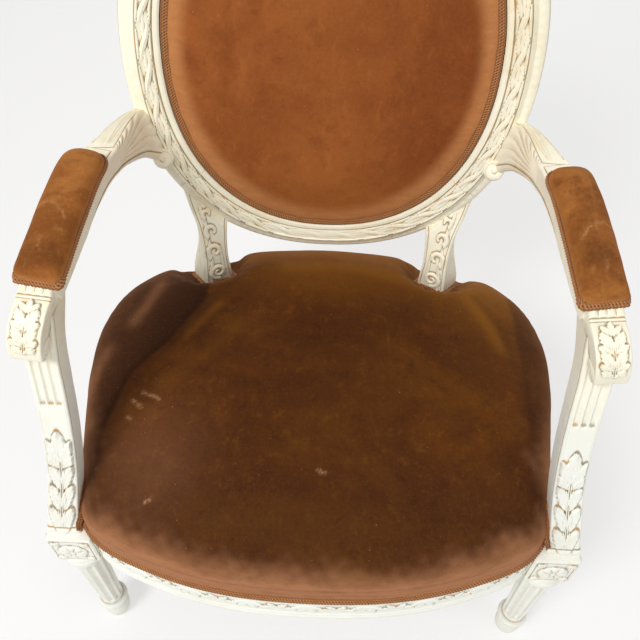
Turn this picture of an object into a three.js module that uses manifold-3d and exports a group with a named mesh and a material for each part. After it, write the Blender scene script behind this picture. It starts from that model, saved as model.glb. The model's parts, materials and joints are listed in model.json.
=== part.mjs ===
// Open armchair with an oval back, a horseshoe seat and scrolled arms
// Millimetres, +Z up, front towards -Y, right arm on +X
import * as THREE from 'three';
import { mergeVertices } from 'three/addons/utils/BufferGeometryUtils.js';
import Module from 'manifold-3d';

const wasm = await Module();
wasm.setup();

// Fits and cuts
const clearance = 0.3;
const sharpCornerShare = 0.5;

// Seat frame
const seatHalfWidth = 314;
const seatHalfDepth = 266;
const railBottom = 250;
const railHeight = 62;
const railThickness = 30;
const railBead = 3;
const railFillet = 9;
const railField = 12;
const railTop = railBottom + railHeight;
const seatOutlineShares = [
  [0, -1], [0.335, -0.975], [0.6, -0.9], [0.835, -0.775], [0.917, -0.647], [0.933, -0.489],
  [0.965, -0.226], [1, 0.075], [0.997, 0.338], [0.924, 0.594], [0.748, 0.797], [0.478, 0.932], [0, 1],
];
const seatSteps = 48;

// Front legs: the square head takes the rails and the arm support
const headWidth = 56;
const frontLegPlaceShares = [0.949, -0.669];
const frontLegX = seatHalfWidth * frontLegPlaceShares[0];
const frontLegY = seatHalfDepth * frontLegPlaceShares[1];
const legSetForward = 8;
const legRadius = 26;
const fluteCount = 10;
const fluteDepth = 2.6;
// Height share of the leg, radius share, and whether the ring is fluted
const legProfileShares = [
  [1.01, 0.9, 0], [0.985, 0.96, 0], [0.965, 1, 0], [0.94, 0.84, 0], [0.91, 0.79, 0],
  [0.9, 0.78, 1], [0.27, 0.62, 1], [0.255, 0.61, 0], [0.24, 0.8, 0],
  [0.21, 0.8, 0], [0.17, 0.66, 0], [0.1, 0.72, 0], [0, 0.48, 0],
];

// Rear legs run up through the seat frame to the oval back
const stilePlaceShares = [0.5446, 0.8233];
const stileX = seatHalfWidth * stilePlaceShares[0];
const stileY = seatHalfDepth * stilePlaceShares[1];
const stileWidth = 50;
const stileDepth = 54;
const stileTurn = THREE.MathUtils.degToRad(32);
const rearLegKick = 34;

// Joints: tenons enter the heads squarely, each slid along its face to the middle of its rail
const tenonLength = 20;
const tenonRoot = 8;
const frontTenonSlide = 4;
const sideTenonSlide = 22;
const stileSideSlide = 10;
const stileRearSlide = 2;
const tenonThickness = 12;
const tenonHeight = 40;
const supportTenonWidth = 14;
const supportTenonDepth = 22;
const dowelRadius = 5;
const dowelLength = 34;
const dowelSides = 10;
const braceSize = 62;
const braceHeight = 38;
const braceDrop = 6;
const braceInset = 16;

// Oval back
const backHalfWidth = 206;
const backHalfHeight = 250;
const backSquareShare = 2.15;
const backHollow = 30;
const backRake = THREE.MathUtils.degToRad(12);
const backSetBack = 22;
const backCentreY = seatHalfDepth + backSetBack;
const backRise = 359;
const backCentreZ = railTop + backRise;
const frameWidth = 43;
const frameDepth = 28;
const ledgeWidth = 8;
const frontRabbet = 9;
const rearRabbet = 4;
const frameBead = 1.6;
// Moulded face of the frame: outwards as a share of its width, forwards as a share of a bead
const frameFaceShares = [
  [0, -1], [0.07, 0], [0.18, 0], [0.21, -1], [0.39, -0.4], [0.57, -1], [0.61, 0], [0.68, -1],
  [0.77, -5], [0.91, -6.5], [1, -9],
];
const stileDowelAngle = THREE.MathUtils.degToRad(-47);
const armDowelAngle = THREE.MathUtils.degToRad(-18);
const armDowelShare = 0.68;
const armDowelSlant = [0.1, -1, 0.2];
const backSteps = 48;
// The oval's joints stand this many of its steps above and below its sides
const sideJointSteps = 5;
const sideJointAngle = (360 * sideJointSteps) / backSteps;

// Back upholstery
const backCrown = 24;
const rearCrown = 7;
const gimpWidth = 10;
const gimpThickness = 2.2;
const coverThickness = 2.4;
const webWidth = 52;
const webThickness = 1.8;
const webSpacing = 2.3;
const strapsAcross = [-1, 0, 1];
const strapsUp = [-0.5, 0.5];
const strapSteps = 8;
const webSlack = 0.6;

// Seat upholstery
const seatCrown = 82;
const seatRearShare = 0.32;
const seatSpread = 6;
const hessianThickness = 1.4;
const seatSideHeight = 12;
const seatEase = 1;
// The braid stops at this distance from the middle of a support and of a stile
const supportStop = 34;
const stileStop = 41;
const stopStepShare = 0.05;
// Seat cover from the middle out and down: share of the outline, share of the spread, share of the crown
const seatRowShares = [
  [0, 0, 1], [0.38, 0, 0.975], [0.64, 0, 0.915], [0.83, 0, 0.835], [0.95, 0, 0.73], [1, -0.4, 0.61],
  [1, 0.75, 0.5], [1, 1, 0.38], [1, 0.45, 0.25], [1, -1, 0.14], [1, -1, 0.006],
];
// Back cover from the middle out: share of the opening, share of the crown
const backRowShares = [[0, 1], [0.36, 0.97], [0.62, 0.87], [0.82, 0.66], [0.94, 0.36], [1, 0]];
const backRimDrop = 2;
const backUnderShares = [0.7, 0.4, 0];

// Arms: the path runs from the oval to the grip, with the section's size at each point
const armHalfSpan = 281;
const armLength = 344;
const armRootForward = 42;
const armRootY = backCentreY - armRootForward;
const armForward = armLength - armRootY;
const armRootDrop = 97;
const armRootZ = backCentreZ - armRootDrop;
const armRise = 66;
const armRootShare = 0.58;
const armRootX = backHalfWidth + frameWidth * armRootShare;
const armCrestZ = armRootZ + armRise;
const armWidth = 45;
const armThickness = 25;
const armPathShares = [
  [0, 1, 0], [0.202, 0.881, 0.424], [0.461, 0.692, 0.818], [0.68, 0.517, 1],
  [0.798, 0.285, 0.97], [0.882, 0.081, 0.864], [1, 0, 0.758],
];
const armSectionShares = [
  [0.76, 2.6], [0.71, 2], [0.76, 1.3], [0.96, 1], [1, 0.96], [0.84, 0.96], [0.78, 0.96],
];
const armSteps = 20;
const armChamferShare = 0.24;
const gripWidth = 32;
const gripBevel = 2;
const gripTurn = THREE.MathUtils.degToRad(6);
const gripLeanShare = 0.2;
const scrollBoss = 8;
const bossProud = 1.6;
// Side outline of the grip from the end of the arm: forward and up
const gripReach = 28;
const gripDrop = 52;
const gripOutlineShares = [
  [-0.12, 0.2], [0.3, 0.17], [0.62, 0.05], [0.88, -0.17], [1, -0.46], [1, -0.74], [0.9, -0.93],
  [0.66, -1], [0.38, -0.96], [0.2, -0.8], [0.12, -0.58], [0.02, -0.38], [-0.12, -0.2],
];
const scrollCentreShares = [0.58, -0.64];

// Arm pads, on the steps of the arm's path
const padFirstStep = 9;
const padLastStep = 17;
const padWidth = 50;
const padHeight = 24;
const padSectionShares = [
  [-0.48, 0], [0.48, 0], [0.5, 0.3], [0.47, 0.6], [0.37, 0.85], [0.19, 0.97], [0, 1],
  [-0.19, 0.97], [-0.37, 0.85], [-0.47, 0.6], [-0.5, 0.3],
];
const padEndShares = [0.72, 0.93, 1];
const padTaperShare = 0.3;
const padGimpHeight = 7;

// Arm supports: lean, sweep, height, width and depth at each level
const supportSetOut = 7;
const supportSetBack = 2;
const supportBaseX = frontLegX + supportSetOut;
const supportBaseY = frontLegY + supportSetBack;
const supportTopDrop = 18;
const supportTopSetBack = 32;
const supportLean = supportBaseX - armHalfSpan;
const supportSweep = supportTopSetBack - armForward - supportBaseY;
const supportHeight = armCrestZ - supportTopDrop - railTop;
const supportWidth = 35;
const supportDepth = 36;
const supportLevelShares = [
  [0, 0, 0, 1.08, 1.06], [0.16, 0.1, 0.106, 1.08, 0.97], [0.48, 0.3, 0.284, 1.02, 0.92],
  [0.64, 0.473, 0.461, 1, 0.89], [0.72, 0.618, 0.639, 1, 0.89], [0.76, 0.764, 0.8, 1, 1.03],
  [0.88, 0.909, 0.913, 1, 1.39], [1, 1, 1, 1, 1.72],
];
const supportChamferShare = 0.14;
const plinthWidth = 42;
const plinthHeight = 7;
const supportFlutes = 3;
const supportFluteRadius = 3.2;
const supportFluteSpacing = 9;
const supportFluteFromShare = 0.56;
const supportFluteToShare = 0.94;

// Rear stile above the seat: shift across and back, height, width, depth, and share of the turn
const stileFoot = 12;
const stileRiseShare = 0.571;
const stileRise = backRise * stileRiseShare;
const stileLevelShares = [
  [0, 0, 0, 0.88, 0.89, 1], [-0.02, -0.07, 0.22, 0.84, 0.85, 1], [-0.08, -0.06, 0.415, 0.76, 0.7, 0.84],
  [-0.1, 0.16, 0.66, 0.9, 0.5, 0.5], [0.06, 0.38, 1, 1.24, 0.44, 0.38],
];
const stileChamferShare = 0.12;

const paint = { color: 0xf1ebd6, roughness: 0.55, metalness: 0 };
const wood = { color: 0xb98d5e, roughness: 0.7, metalness: 0 };
const velvet = { color: 0x7a3f1d, roughness: 0.9, metalness: 0 };
const braid = { color: 0xb9814e, roughness: 0.8, metalness: 0 };
const jute = { color: 0xa98a5e, roughness: 0.95, metalness: 0 };
const stuffing = { color: 0xd8cdb4, roughness: 1, metalness: 0 };

// Solids

function facesOut(positions, index) {
  let volume = 0;
  const [a, b, c] = [new THREE.Vector3(), new THREE.Vector3(), new THREE.Vector3()];
  for (let i = 0; i < index.length; i += 3) {
    a.fromArray(positions, index[i] * 3);
    b.fromArray(positions, index[i + 1] * 3);
    c.fromArray(positions, index[i + 2] * 3);
    volume += a.dot(b.cross(c));
  }
  if (volume > 0) return index;
  return index.map((_, i) => index[i - (i % 3) + 2 - (i % 3)]);
}

function toSolid(geometry) {
  const bare = geometry.clone();
  bare.deleteAttribute('normal');
  bare.deleteAttribute('uv');
  const merged = mergeVertices(bare, 1e-4);
  const positions = merged.attributes.position.array;
  const index = facesOut(positions, Array.from(merged.index.array));
  return new wasm.Manifold(new wasm.Mesh({
    numProp: 3,
    vertProperties: Float32Array.from(positions),
    triVerts: Uint32Array.from(index),
  }));
}

function toGeometry(solid) {
  const mesh = solid.getMesh();
  const geometry = new THREE.BufferGeometry();
  geometry.setAttribute('position', new THREE.BufferAttribute(Float32Array.from(mesh.vertProperties), 3));
  geometry.setIndex(Array.from(mesh.triVerts));
  geometry.computeVertexNormals();
  return geometry;
}

const rectangle = (left, low, right, high) => [[left, low], [right, low], [right, high], [left, high]];
const join = (first, ...others) => others.reduce((all, next) => all.add(next), first);
const cut = (first, ...others) => others.reduce((all, next) => all.subtract(next), first);

// What is left of a piece once offcuts are thrown away
function largest(solid) {
  const pieces = solid.decompose();
  return pieces.reduce((best, next) => (next.volume() > best.volume() ? next : best));
}

// A skin over rings of equally many points, capped by the section's triangles, or closed on itself
function skin(rings, section = null) {
  const count = rings[0].length;
  const positions = rings.flat().flatMap((p) => [p.x, p.y, p.z]);
  const index = [];
  const last = section ? rings.length - 1 : rings.length;
  for (let i = 0; i < last; i += 1) {
    const here = i * count;
    const next = ((i + 1) % rings.length) * count;
    for (let j = 0; j < count; j += 1) {
      const k = (j + 1) % count;
      index.push(here + j, here + k, next + k, here + j, next + k, next + j);
    }
  }
  if (section) {
    const faces = THREE.ShapeUtils.triangulateShape(section.map(([x, y]) => new THREE.Vector2(x, y)), []);
    const end = (rings.length - 1) * count;
    const ccw = THREE.ShapeUtils.isClockWise(section.map(([x, y]) => new THREE.Vector2(x, y))) ? -1 : 1;
    for (const [a, b, c] of faces) {
      if (ccw > 0) index.push(a, c, b, end + a, end + b, end + c);
      else index.push(a, b, c, end + a, end + c, end + b);
    }
  }
  const geometry = new THREE.BufferGeometry();
  geometry.setAttribute('position', new THREE.Float32BufferAttribute(positions, 3));
  geometry.setIndex(index);
  return toSolid(geometry);
}

// A skin whose two ends close to single points
function pod(rings, firstPole, lastPole) {
  const count = rings[0].length;
  const positions = [...rings.flat(), firstPole, lastPole].flatMap((p) => [p.x, p.y, p.z]);
  const index = [];
  for (let i = 0; i < rings.length - 1; i += 1) {
    for (let j = 0; j < count; j += 1) {
      const k = (j + 1) % count;
      const here = i * count;
      index.push(here + j, here + k, here + count + k, here + j, here + count + k, here + count + j);
    }
  }
  const pole = rings.length * count;
  const end = (rings.length - 1) * count;
  for (let j = 0; j < count; j += 1) {
    const k = (j + 1) % count;
    index.push(pole, k, j, pole + 1, end + j, end + k);
  }
  const geometry = new THREE.BufferGeometry();
  geometry.setAttribute('position', new THREE.Float32BufferAttribute(positions, 3));
  geometry.setIndex(index);
  return toSolid(geometry);
}

function block(width, depth, height) {
  return toSolid(new THREE.BoxGeometry(width, depth, height));
}

function rod(radius, length, place) {
  const geometry = new THREE.CylinderGeometry(radius, radius, length, dowelSides);
  return toSolid(geometry.applyMatrix4(place));
}

// Places something whose length lies along Y so that it points from a spot along a direction
function along(spot, direction) {
  const turn = new THREE.Quaternion().setFromUnitVectors(new THREE.Vector3(0, 1, 0), direction.clone().normalize());
  return new THREE.Matrix4().compose(spot, turn, new THREE.Vector3(1, 1, 1));
}

function move(solid, matrix) {
  return solid.transform(matrix.elements.slice());
}

function mirrored(solid) {
  return solid.mirror([1, 0, 0]);
}

// Moves each corner of a flat outline outwards along the mean of its sides' normals
function outset(points, distance) {
  const turn = THREE.ShapeUtils.isClockWise(points.map(([x, y]) => new THREE.Vector2(x, y))) ? -1 : 1;
  return points.map((point, i) => {
    const before = points[(i + points.length - 1) % points.length];
    const after = points[(i + 1) % points.length];
    const first = new THREE.Vector2(point[1] - before[1], before[0] - point[0]).normalize();
    const second = new THREE.Vector2(after[1] - point[1], point[0] - after[0]).normalize();
    const mean = first.clone().add(second).normalize();
    const reach = (turn * distance) / Math.max(mean.dot(first), sharpCornerShare);
    return [point[0] + mean.x * reach, point[1] + mean.y * reach];
  });
}

// Rectangle with cut corners
function chamfered(width, depth, share) {
  const [x, y] = [width / 2, depth / 2];
  const c = Math.min(width, depth) * share;
  return [
    [x, y - c], [x - c, y], [c - x, y], [-x, y - c], [-x, c - y], [c - x, -y], [x - c, -y], [x, c - y],
  ];
}

// Seat outline

const mirroredShares = seatOutlineShares.slice(1, -1).reverse().map(([x, y]) => [-x, y]);
const seatCurve = new THREE.CatmullRomCurve3(
  [...seatOutlineShares, ...mirroredShares].map(
    ([x, y]) => new THREE.Vector3(x * seatHalfWidth, y * seatHalfDepth, 0),
  ),
  true,
  'centripetal',
);

function seatPoint(turn, offset, z) {
  const u = ((turn % 1) + 1) % 1;
  const point = seatCurve.getPointAt(u);
  const tangent = seatCurve.getTangentAt(u);
  return new THREE.Vector3(point.x + tangent.y * offset, point.y - tangent.x * offset, z);
}

function nearestStep(x, y) {
  let best = 0;
  let least = Infinity;
  for (let i = 0; i < seatSteps; i += 1) {
    const gap = seatPoint(i / seatSteps, 0, 0).distanceTo(new THREE.Vector3(x, y, 0));
    if (gap < least) {
      least = gap;
      best = i;
    }
  }
  return best;
}

// The first step of the outline past a spot that is clear of it by a distance, up or down the outline
function stepClearOf(x, y, distance, direction) {
  const spot = new THREE.Vector3(x, y, 0);
  let step = nearestStep(x, y);
  while (seatFacetPoint(step, 0, 0).distanceTo(spot) < distance) step += direction * stopStepShare;
  return step;
}

// A spot on the straight run between two steps of the seat's outline
function seatFacetPoint(step, offset, z) {
  const low = seatPoint(Math.floor(step) / seatSteps, offset, z);
  return low.lerp(seatPoint(Math.ceil(step) / seatSteps, offset, z), step - Math.floor(step));
}

// A band of the given section, offset outwards and height, that follows the seat from one step to another
function seatBand(from, to, section) {
  const steps = [from];
  for (let i = Math.floor(from) + 1; i < to; i += 1) steps.push(i);
  steps.push(to);
  const rings = steps.map((step) => section.map(([offset, z]) => seatFacetPoint(step, offset, z)));
  return skin(rings, section);
}

const frontStep = nearestStep(frontLegX, frontLegY);
const rearStep = nearestStep(stileX, stileY);

// Legs and stiles

function turnedLeg(height, kick) {
  const rings = legProfileShares.map(([heightShare, radiusShare, fluted]) => {
    const ring = [];
    for (let i = 0; i < fluteCount; i += 1) {
      for (const [angleShare, depthShare] of [[0.12, 0], [0.5, 1], [0.88, 0]]) {
        const angle = ((i + angleShare) / fluteCount) * Math.PI * 2;
        const radius = radiusShare * legRadius - fluted * depthShare * fluteDepth;
        const lean = kick * (1 - heightShare);
        ring.push(new THREE.Vector3(
          Math.cos(angle) * radius,
          Math.sin(angle) * radius + lean,
          heightShare * height,
        ));
      }
    }
    return ring;
  });
  const section = rings[0].map((p) => [p.x, p.y]);
  return skin(rings, section);
}

const railMiddle = railBottom + railHeight / 2;
const frontHeadPlace = new THREE.Matrix4().makeTranslation(frontLegX, frontLegY, railMiddle);
const stileHeadPlace = new THREE.Matrix4().makeRotationZ(-stileTurn);
stileHeadPlace.setPosition(stileX, stileY, railMiddle);

function frontHead(grow) {
  return move(block(headWidth + 2 * grow, headWidth + 2 * grow, railHeight + 2 * grow), frontHeadPlace);
}

function stileHead(grow) {
  return move(block(stileWidth + 2 * grow, stileDepth + 2 * grow, railHeight + 2 * grow), stileHeadPlace);
}

// Tenon through the face of a head on its X or Y side, from its root in the rail to its end in the head
function tenon(headPlace, axis, face, slide, grow) {
  const length = tenonLength + tenonRoot + 2 * grow;
  const thickness = tenonThickness + 2 * grow;
  const middle = face - (Math.sign(face) * (tenonLength - tenonRoot)) / 2;
  const height = tenonHeight + 2 * grow;
  const box = axis === 'x' ? block(length, thickness, height) : block(thickness, length, height);
  const placed = axis === 'x' ? box.translate([middle, slide, 0]) : box.translate([slide, middle, 0]);
  return move(placed, headPlace);
}

const frontTenon = (grow) => tenon(frontHeadPlace, 'x', -headWidth / 2, -frontTenonSlide, grow);
const sideFrontTenon = (grow) => tenon(frontHeadPlace, 'y', headWidth / 2, -sideTenonSlide, grow);
const sideRearTenon = (grow) => tenon(stileHeadPlace, 'x', stileWidth / 2, stileSideSlide, grow);
const rearTenon = (grow) => tenon(stileHeadPlace, 'x', -stileWidth / 2, stileRearSlide, grow);

function supportTenon(grow) {
  const width = supportTenonWidth + 2 * grow;
  const pin = block(width, width, 2 * (supportTenonDepth + grow));
  return pin.translate([supportBaseX, supportBaseY, railTop]);
}

function frontLeg() {
  const turned = turnedLeg(railBottom, 0).translate([frontLegX, frontLegY - legSetForward, 0]);
  return cut(
    join(frontHead(0), turned),
    frontTenon(clearance),
    sideFrontTenon(clearance),
    supportTenon(clearance),
  );
}

// Levels of turned rectangles joined into one upright
function stileUpper(grow) {
  const rings = stileLevelShares.map(([across, back, up, width, depth, turn]) => {
    const angle = -stileTurn * turn;
    const outline = chamfered(width * stileWidth + 2 * grow, depth * stileDepth + 2 * grow, stileChamferShare);
    return outline.map(([u, v]) => new THREE.Vector3(
      stileX + across * stileWidth + u * Math.cos(angle) - v * Math.sin(angle),
      stileY + back * stileWidth + u * Math.sin(angle) + v * Math.cos(angle),
      railTop - stileFoot + up * stileRise,
    ));
  });
  return skin(rings, rings[0].map((p) => [p.x, p.y]));
}

function rearStile() {
  const turned = turnedLeg(railBottom, rearLegKick).translate([stileX, stileY, 0]);
  return largest(cut(
    join(stileHead(0), turned, stileUpper(0)),
    backFrameRing(0, 360, clearance, true),
    move(ovalOpening(-2 * frameDepth, 2 * frameDepth, frameMiddle), backPlace),
    sideRearTenon(clearance),
    rearTenon(clearance),
    rod(dowelRadius + clearance, dowelLength + 2 * clearance, stileDowelPlace),
  ));
}

// Rails

const railSection = [
  [-railThickness, railBottom], [-railBead, railBottom], [0, railBottom + railBead],
  [0, railBottom + railFillet], [-railBead, railBottom + railField],
  [-railBead, railTop - railField], [0, railTop - railFillet], [0, railTop - railBead],
  [-railBead, railTop], [-railThickness, railTop],
];

function rail(from, to, tenons, heads) {
  return join(largest(cut(seatBand(from, to, railSection), ...heads)), ...tenons);
}

function frontRail() {
  const [head, pin] = [frontHead(clearance), frontTenon(0)];
  return rail(-frontStep, frontStep, [pin, mirrored(pin)], [head, mirrored(head)]);
}

function rearRail() {
  const [head, pin] = [stileHead(clearance), rearTenon(0)];
  return rail(rearStep, seatSteps - rearStep, [pin, mirrored(pin)], [head, mirrored(head)]);
}

function sideRail() {
  const heads = [frontHead(clearance), stileHead(clearance)];
  return rail(frontStep, rearStep, [sideFrontTenon(0), sideRearTenon(0)], heads);
}

// Glue block in the corner behind a head, fitted to the inside of the rails
function cornerBrace(head, x, y) {
  const outline = [];
  for (let i = 0; i < seatSteps; i += 1) {
    const p = seatPoint(i / seatSteps, -railThickness - clearance, 0);
    outline.push(new THREE.Vector2(p.x, p.y));
  }
  const inside = toSolid(new THREE.ExtrudeGeometry(
    new THREE.Shape(outline),
    { depth: braceHeight, bevelEnabled: false },
  ));
  const diamond = block(braceSize * Math.SQRT2, braceSize * Math.SQRT2, 2 * (braceHeight + clearance));
  const place = new THREE.Matrix4().makeRotationZ(Math.PI / 4);
  place.setPosition(x - braceInset, y - Math.sign(y) * braceInset, 0);
  const wedge = inside.intersect(move(diamond, place));
  return largest(cut(wedge.translate([0, 0, railTop - braceDrop - braceHeight]), head));
}

// Oval back, modelled about its own centre: X across, Y to the rear, Z up the rake

const backPlace = new THREE.Matrix4().makeRotationX(-backRake);
backPlace.setPosition(0, backCentreY, backCentreZ);

// A spot on the hollow back from its flat place and its height in front of the face
function backPoint(x, up, front) {
  const slope = (-2 * backHollow * x) / backHalfWidth ** 2;
  const length = Math.hypot(1, slope);
  return new THREE.Vector3(
    x + (front * slope) / length,
    -backHollow * (x / backHalfWidth) ** 2 - front / length,
    up,
  );
}

function ovalPlace(angle, out) {
  const [c, s] = [Math.cos(angle), Math.sin(angle)];
  const power = 2 / backSquareShare;
  return [
    (backHalfWidth + out) * Math.sign(c) * Math.abs(c) ** power,
    (backHalfHeight + out) * Math.sign(s) * Math.abs(s) ** power,
  ];
}

function ovalPoint(angle, out, front) {
  const [x, up] = ovalPlace(angle, out);
  return backPoint(x, up, front);
}

// Section of the oval frame: outwards from the inner edge, forwards from the face
const frameSection = [
  ...frameFaceShares.map(([out, front]) => [out * frameWidth, front * frameBead]),
  [frameWidth, 2 * frameBead - frameDepth], [frameWidth - 2 * frameBead, -frameDepth],
  [0, -frameDepth], [0, rearRabbet - frameDepth], [-ledgeWidth, rearRabbet - frameDepth],
  [-ledgeWidth, -frontRabbet], [0, -frontRabbet],
];

function backFrameRing(fromDegrees, toDegrees, grow, placed = false) {
  const section = grow ? outset(frameSection, grow) : frameSection;
  const whole = toDegrees - fromDegrees >= 360;
  const steps = Math.round((backSteps * (toDegrees - fromDegrees)) / 360);
  const rings = [];
  const gap = whole ? 0 : clearance / 2 / backHalfWidth;
  const start = THREE.MathUtils.degToRad(fromDegrees);
  const end = THREE.MathUtils.degToRad(toDegrees);
  for (let i = 0; i < steps + (whole ? 0 : 1); i += 1) {
    const even = start + ((end - start) * i) / steps;
    const angle = THREE.MathUtils.clamp(even, start + gap, end - gap);
    rings.push(section.map(([out, front]) => ovalPoint(angle, out, front)));
  }
  const ring = skin(rings, whole ? null : section);
  return placed ? move(ring, backPlace) : ring;
}

const frameMiddle = frameWidth / 2;

function jointDowelPlace(degrees) {
  const angle = THREE.MathUtils.degToRad(degrees);
  const depth = (rearRabbet - frameDepth) / 2;
  const step = Math.PI / backSteps;
  const before = ovalPoint(angle - step, frameMiddle, depth);
  const after = ovalPoint(angle + step, frameMiddle, depth);
  return along(ovalPoint(angle, frameMiddle, depth), after.sub(before));
}

// Dowel from each stile up into the oval's lower rail
const stileDowelPlace = backPlace.clone().multiply(
  along(ovalPoint(stileDowelAngle, frameWidth, -frameDepth / 2), new THREE.Vector3(0, 0, 1)),
);

// Dowel from each arm into the side of the oval
const armDowelPlace = backPlace.clone().multiply(
  along(ovalPoint(armDowelAngle, frameWidth * armDowelShare, -frameBead), new THREE.Vector3(...armDowelSlant)),
);

function dowel(place) {
  return rod(dowelRadius, dowelLength, place);
}

function backFrameSegment(from, to, dowels) {
  const holes = dowels.map((place) => rod(dowelRadius + clearance, dowelLength + 2 * clearance, place));
  return cut(backFrameRing(from, to, 0), ...holes);
}

// Upholstery: rows of rings run from the middle of one face, over the edge, to the middle of the other

// Moves rows of share, offset and height inwards along their own profile
function insetRows(rows, span, distance) {
  const profile = rows.map(([share, offset, height]) => [share * span + offset, height]);
  return rows.map(([share, offset, height], i) => {
    const before = profile[Math.max(i - 1, 0)];
    const after = profile[Math.min(i + 1, rows.length - 1)];
    const run = new THREE.Vector2(after[0] - before[0], after[1] - before[1]).normalize();
    const across = share === 0 ? 0 : run.y * distance;
    return [share, offset + across, height - Math.abs(run.x) * distance];
  });
}

function seatRing([share, offset, height]) {
  const ring = [];
  for (let i = 0; i < seatSteps; i += 1) {
    const p = seatPoint(i / seatSteps, offset, 0).multiplyScalar(share);
    const back = Math.max(p.y / seatHalfDepth, 0);
    const raised = Math.max(height - seatSideHeight, 0) * (1 - seatRearShare * back ** 2);
    p.z = railTop + Math.min(height, seatSideHeight) + raised;
    ring.push(p);
  }
  return ring;
}

function seatPod(rows) {
  const rings = rows.slice(1, -1).map(seatRing);
  return pod(rings, seatRing(rows[0])[0], seatRing(rows[rows.length - 1])[0]);
}

function seatPrism(offset, low, high) {
  return seatPod([[0, 0, high], [1, offset, high], [1, offset, low], [0, 0, low]]);
}

const seatRows = seatRowShares.map(([share, spread, height]) => [share, spread * seatSpread, height * seatCrown]);
const liningOffset = -seatSpread - coverThickness - 2 * clearance;
const webTop = clearance + webThickness;
const hessianTop = webTop + clearance + hessianThickness;

// The cloth is notched from behind around each stile
function stileNotch(grow) {
  const notch = block(stileWidth * stileLevelShares[0][3] + 2 * grow, stileDepth, seatCrown);
  return move(notch.translate([0, stileDepth / 2, (railHeight + seatCrown) / 2]), stileHeadPlace);
}

// What stands up through the seat cover
function uprights(grow) {
  const right = [stileUpper(grow), stileNotch(grow), supportBody(grow)];
  return [...right, ...right.map(mirrored)];
}

// Rows that the cloth's inner face and the stuffing under it share
const innerRows = (rows) => rows.filter((_, i) => i % 2 === 0 || i > rows.length - 3);

function seatCover() {
  const inner = innerRows(insetRows(seatRows, seatHalfWidth, coverThickness)).reverse();
  return largest(cut(seatPod([...seatRows, ...inner]), ...uprights(seatEase)));
}

function seatStuffing() {
  const rows = innerRows(insetRows(seatRows, seatHalfWidth, coverThickness + clearance));
  const low = hessianTop + clearance;
  const sides = rows.filter(([, , height]) => height > low + seatSpread);
  const body = seatPod([...sides, [1, liningOffset, low], [0, 0, low]].reverse());
  return largest(cut(body, ...uprights(seatEase)));
}

function seatHessian() {
  const sheet = seatPrism(liningOffset, webTop + clearance, hessianTop);
  return largest(cut(sheet, ...uprights(seatEase)));
}

function seatWebbing() {
  const straps = [];
  for (let i = -1; i <= 1; i += 1) {
    const place = i * webWidth * webSpacing;
    straps.push(block(webWidth, seatHalfDepth * 2, webThickness).translate([place, 0, 0]));
    straps.push(block(seatHalfWidth * 2, webWidth, webThickness).translate([0, place, 0]));
  }
  const lattice = join(...straps).translate([0, 0, railTop + clearance + webThickness / 2]);
  return largest(cut(lattice.intersect(seatPrism(liningOffset, clearance, seatSideHeight)), ...uprights(seatEase)));
}

function seatGimp(from, to) {
  const inner = clearance - seatSpread;
  const [low, high] = [railTop + clearance, railTop + gimpWidth];
  const section = [
    [inner, low], [inner + gimpThickness, low], [inner + gimpThickness, high], [inner, high],
  ];
  return seatBand(from, to, section);
}

// Back upholstery

function ovalRing([share, offset, front]) {
  const ring = [];
  for (let i = 0; i < backSteps; i += 1) {
    const [x, up] = ovalPlace((i / backSteps) * Math.PI * 2, offset);
    ring.push(backPoint(x * share, up * share, front));
  }
  return ring;
}

function ovalPod(rows) {
  const rings = rows.slice(1, -1).map(ovalRing);
  return pod(rings, ovalRing(rows[0])[0], ovalRing(rows[rows.length - 1])[0]);
}

// The space inside the oval frame, from one height in front of its face to another
function ovalOpening(low, high, offset) {
  return ovalPod([[0, 0, high], [1, offset, high], [1, offset, low], [0, 0, low]]);
}

const backEdge = -gimpWidth - 2 * clearance;
const backRows = [
  ...backRowShares.map(([share, height]) => [share, backEdge, height * backCrown - backRimDrop]),
  [1, -clearance, -backRimDrop],
];

function backCover() {
  const inner = innerRows(insetRows(backRows, backHalfWidth, coverThickness)).reverse();
  return ovalPod([...backRows, ...inner]);
}

function backStuffing() {
  const rows = innerRows(insetRows(backRows, backHalfWidth, coverThickness + clearance));
  const low = webTop + webSlack + clearance - frontRabbet;
  const under = [[1, -clearance, low], ...backUnderShares.map((share) => [share, 0, low])];
  return ovalPod([...rows, ...under].reverse());
}

function strapAcross(middle, vertical) {
  const rings = [];
  const reach = vertical ? backHalfHeight : backHalfWidth;
  const steps = vertical ? 1 : strapSteps;
  const low = clearance - frontRabbet;
  const section = rectangle(-webWidth / 2, low, webWidth / 2, low + webThickness);
  for (let i = 0; i <= steps; i += 1) {
    const length = ((2 * i) / steps - 1) * reach;
    rings.push(section.map(([side, front]) => (
      vertical ? backPoint(middle + side, length, front) : backPoint(length, middle + side, front)
    )));
  }
  return skin(rings, section);
}

function backWebbing() {
  const straps = [];
  for (const place of strapsAcross) straps.push(strapAcross(place * webWidth * webSpacing, false));
  for (const place of strapsUp) straps.push(strapAcross(place * webWidth * webSpacing, true));
  return largest(join(...straps).intersect(ovalOpening(-frameDepth, frameDepth, -clearance)));
}

function backRearPanel() {
  const face = rearRabbet - frameDepth - clearance;
  const domed = backRowShares.map(([share, height]) => [
    share, backEdge, face - coverThickness - height * rearCrown,
  ]).reverse();
  const front = [...backUnderShares.map((share) => [share, 0, face]).reverse(), [1, -ledgeWidth - clearance, face]];
  const edge = [[1, -clearance, face], [1, -clearance, face - coverThickness]];
  return ovalPod([...front, ...edge, ...domed]);
}

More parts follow.
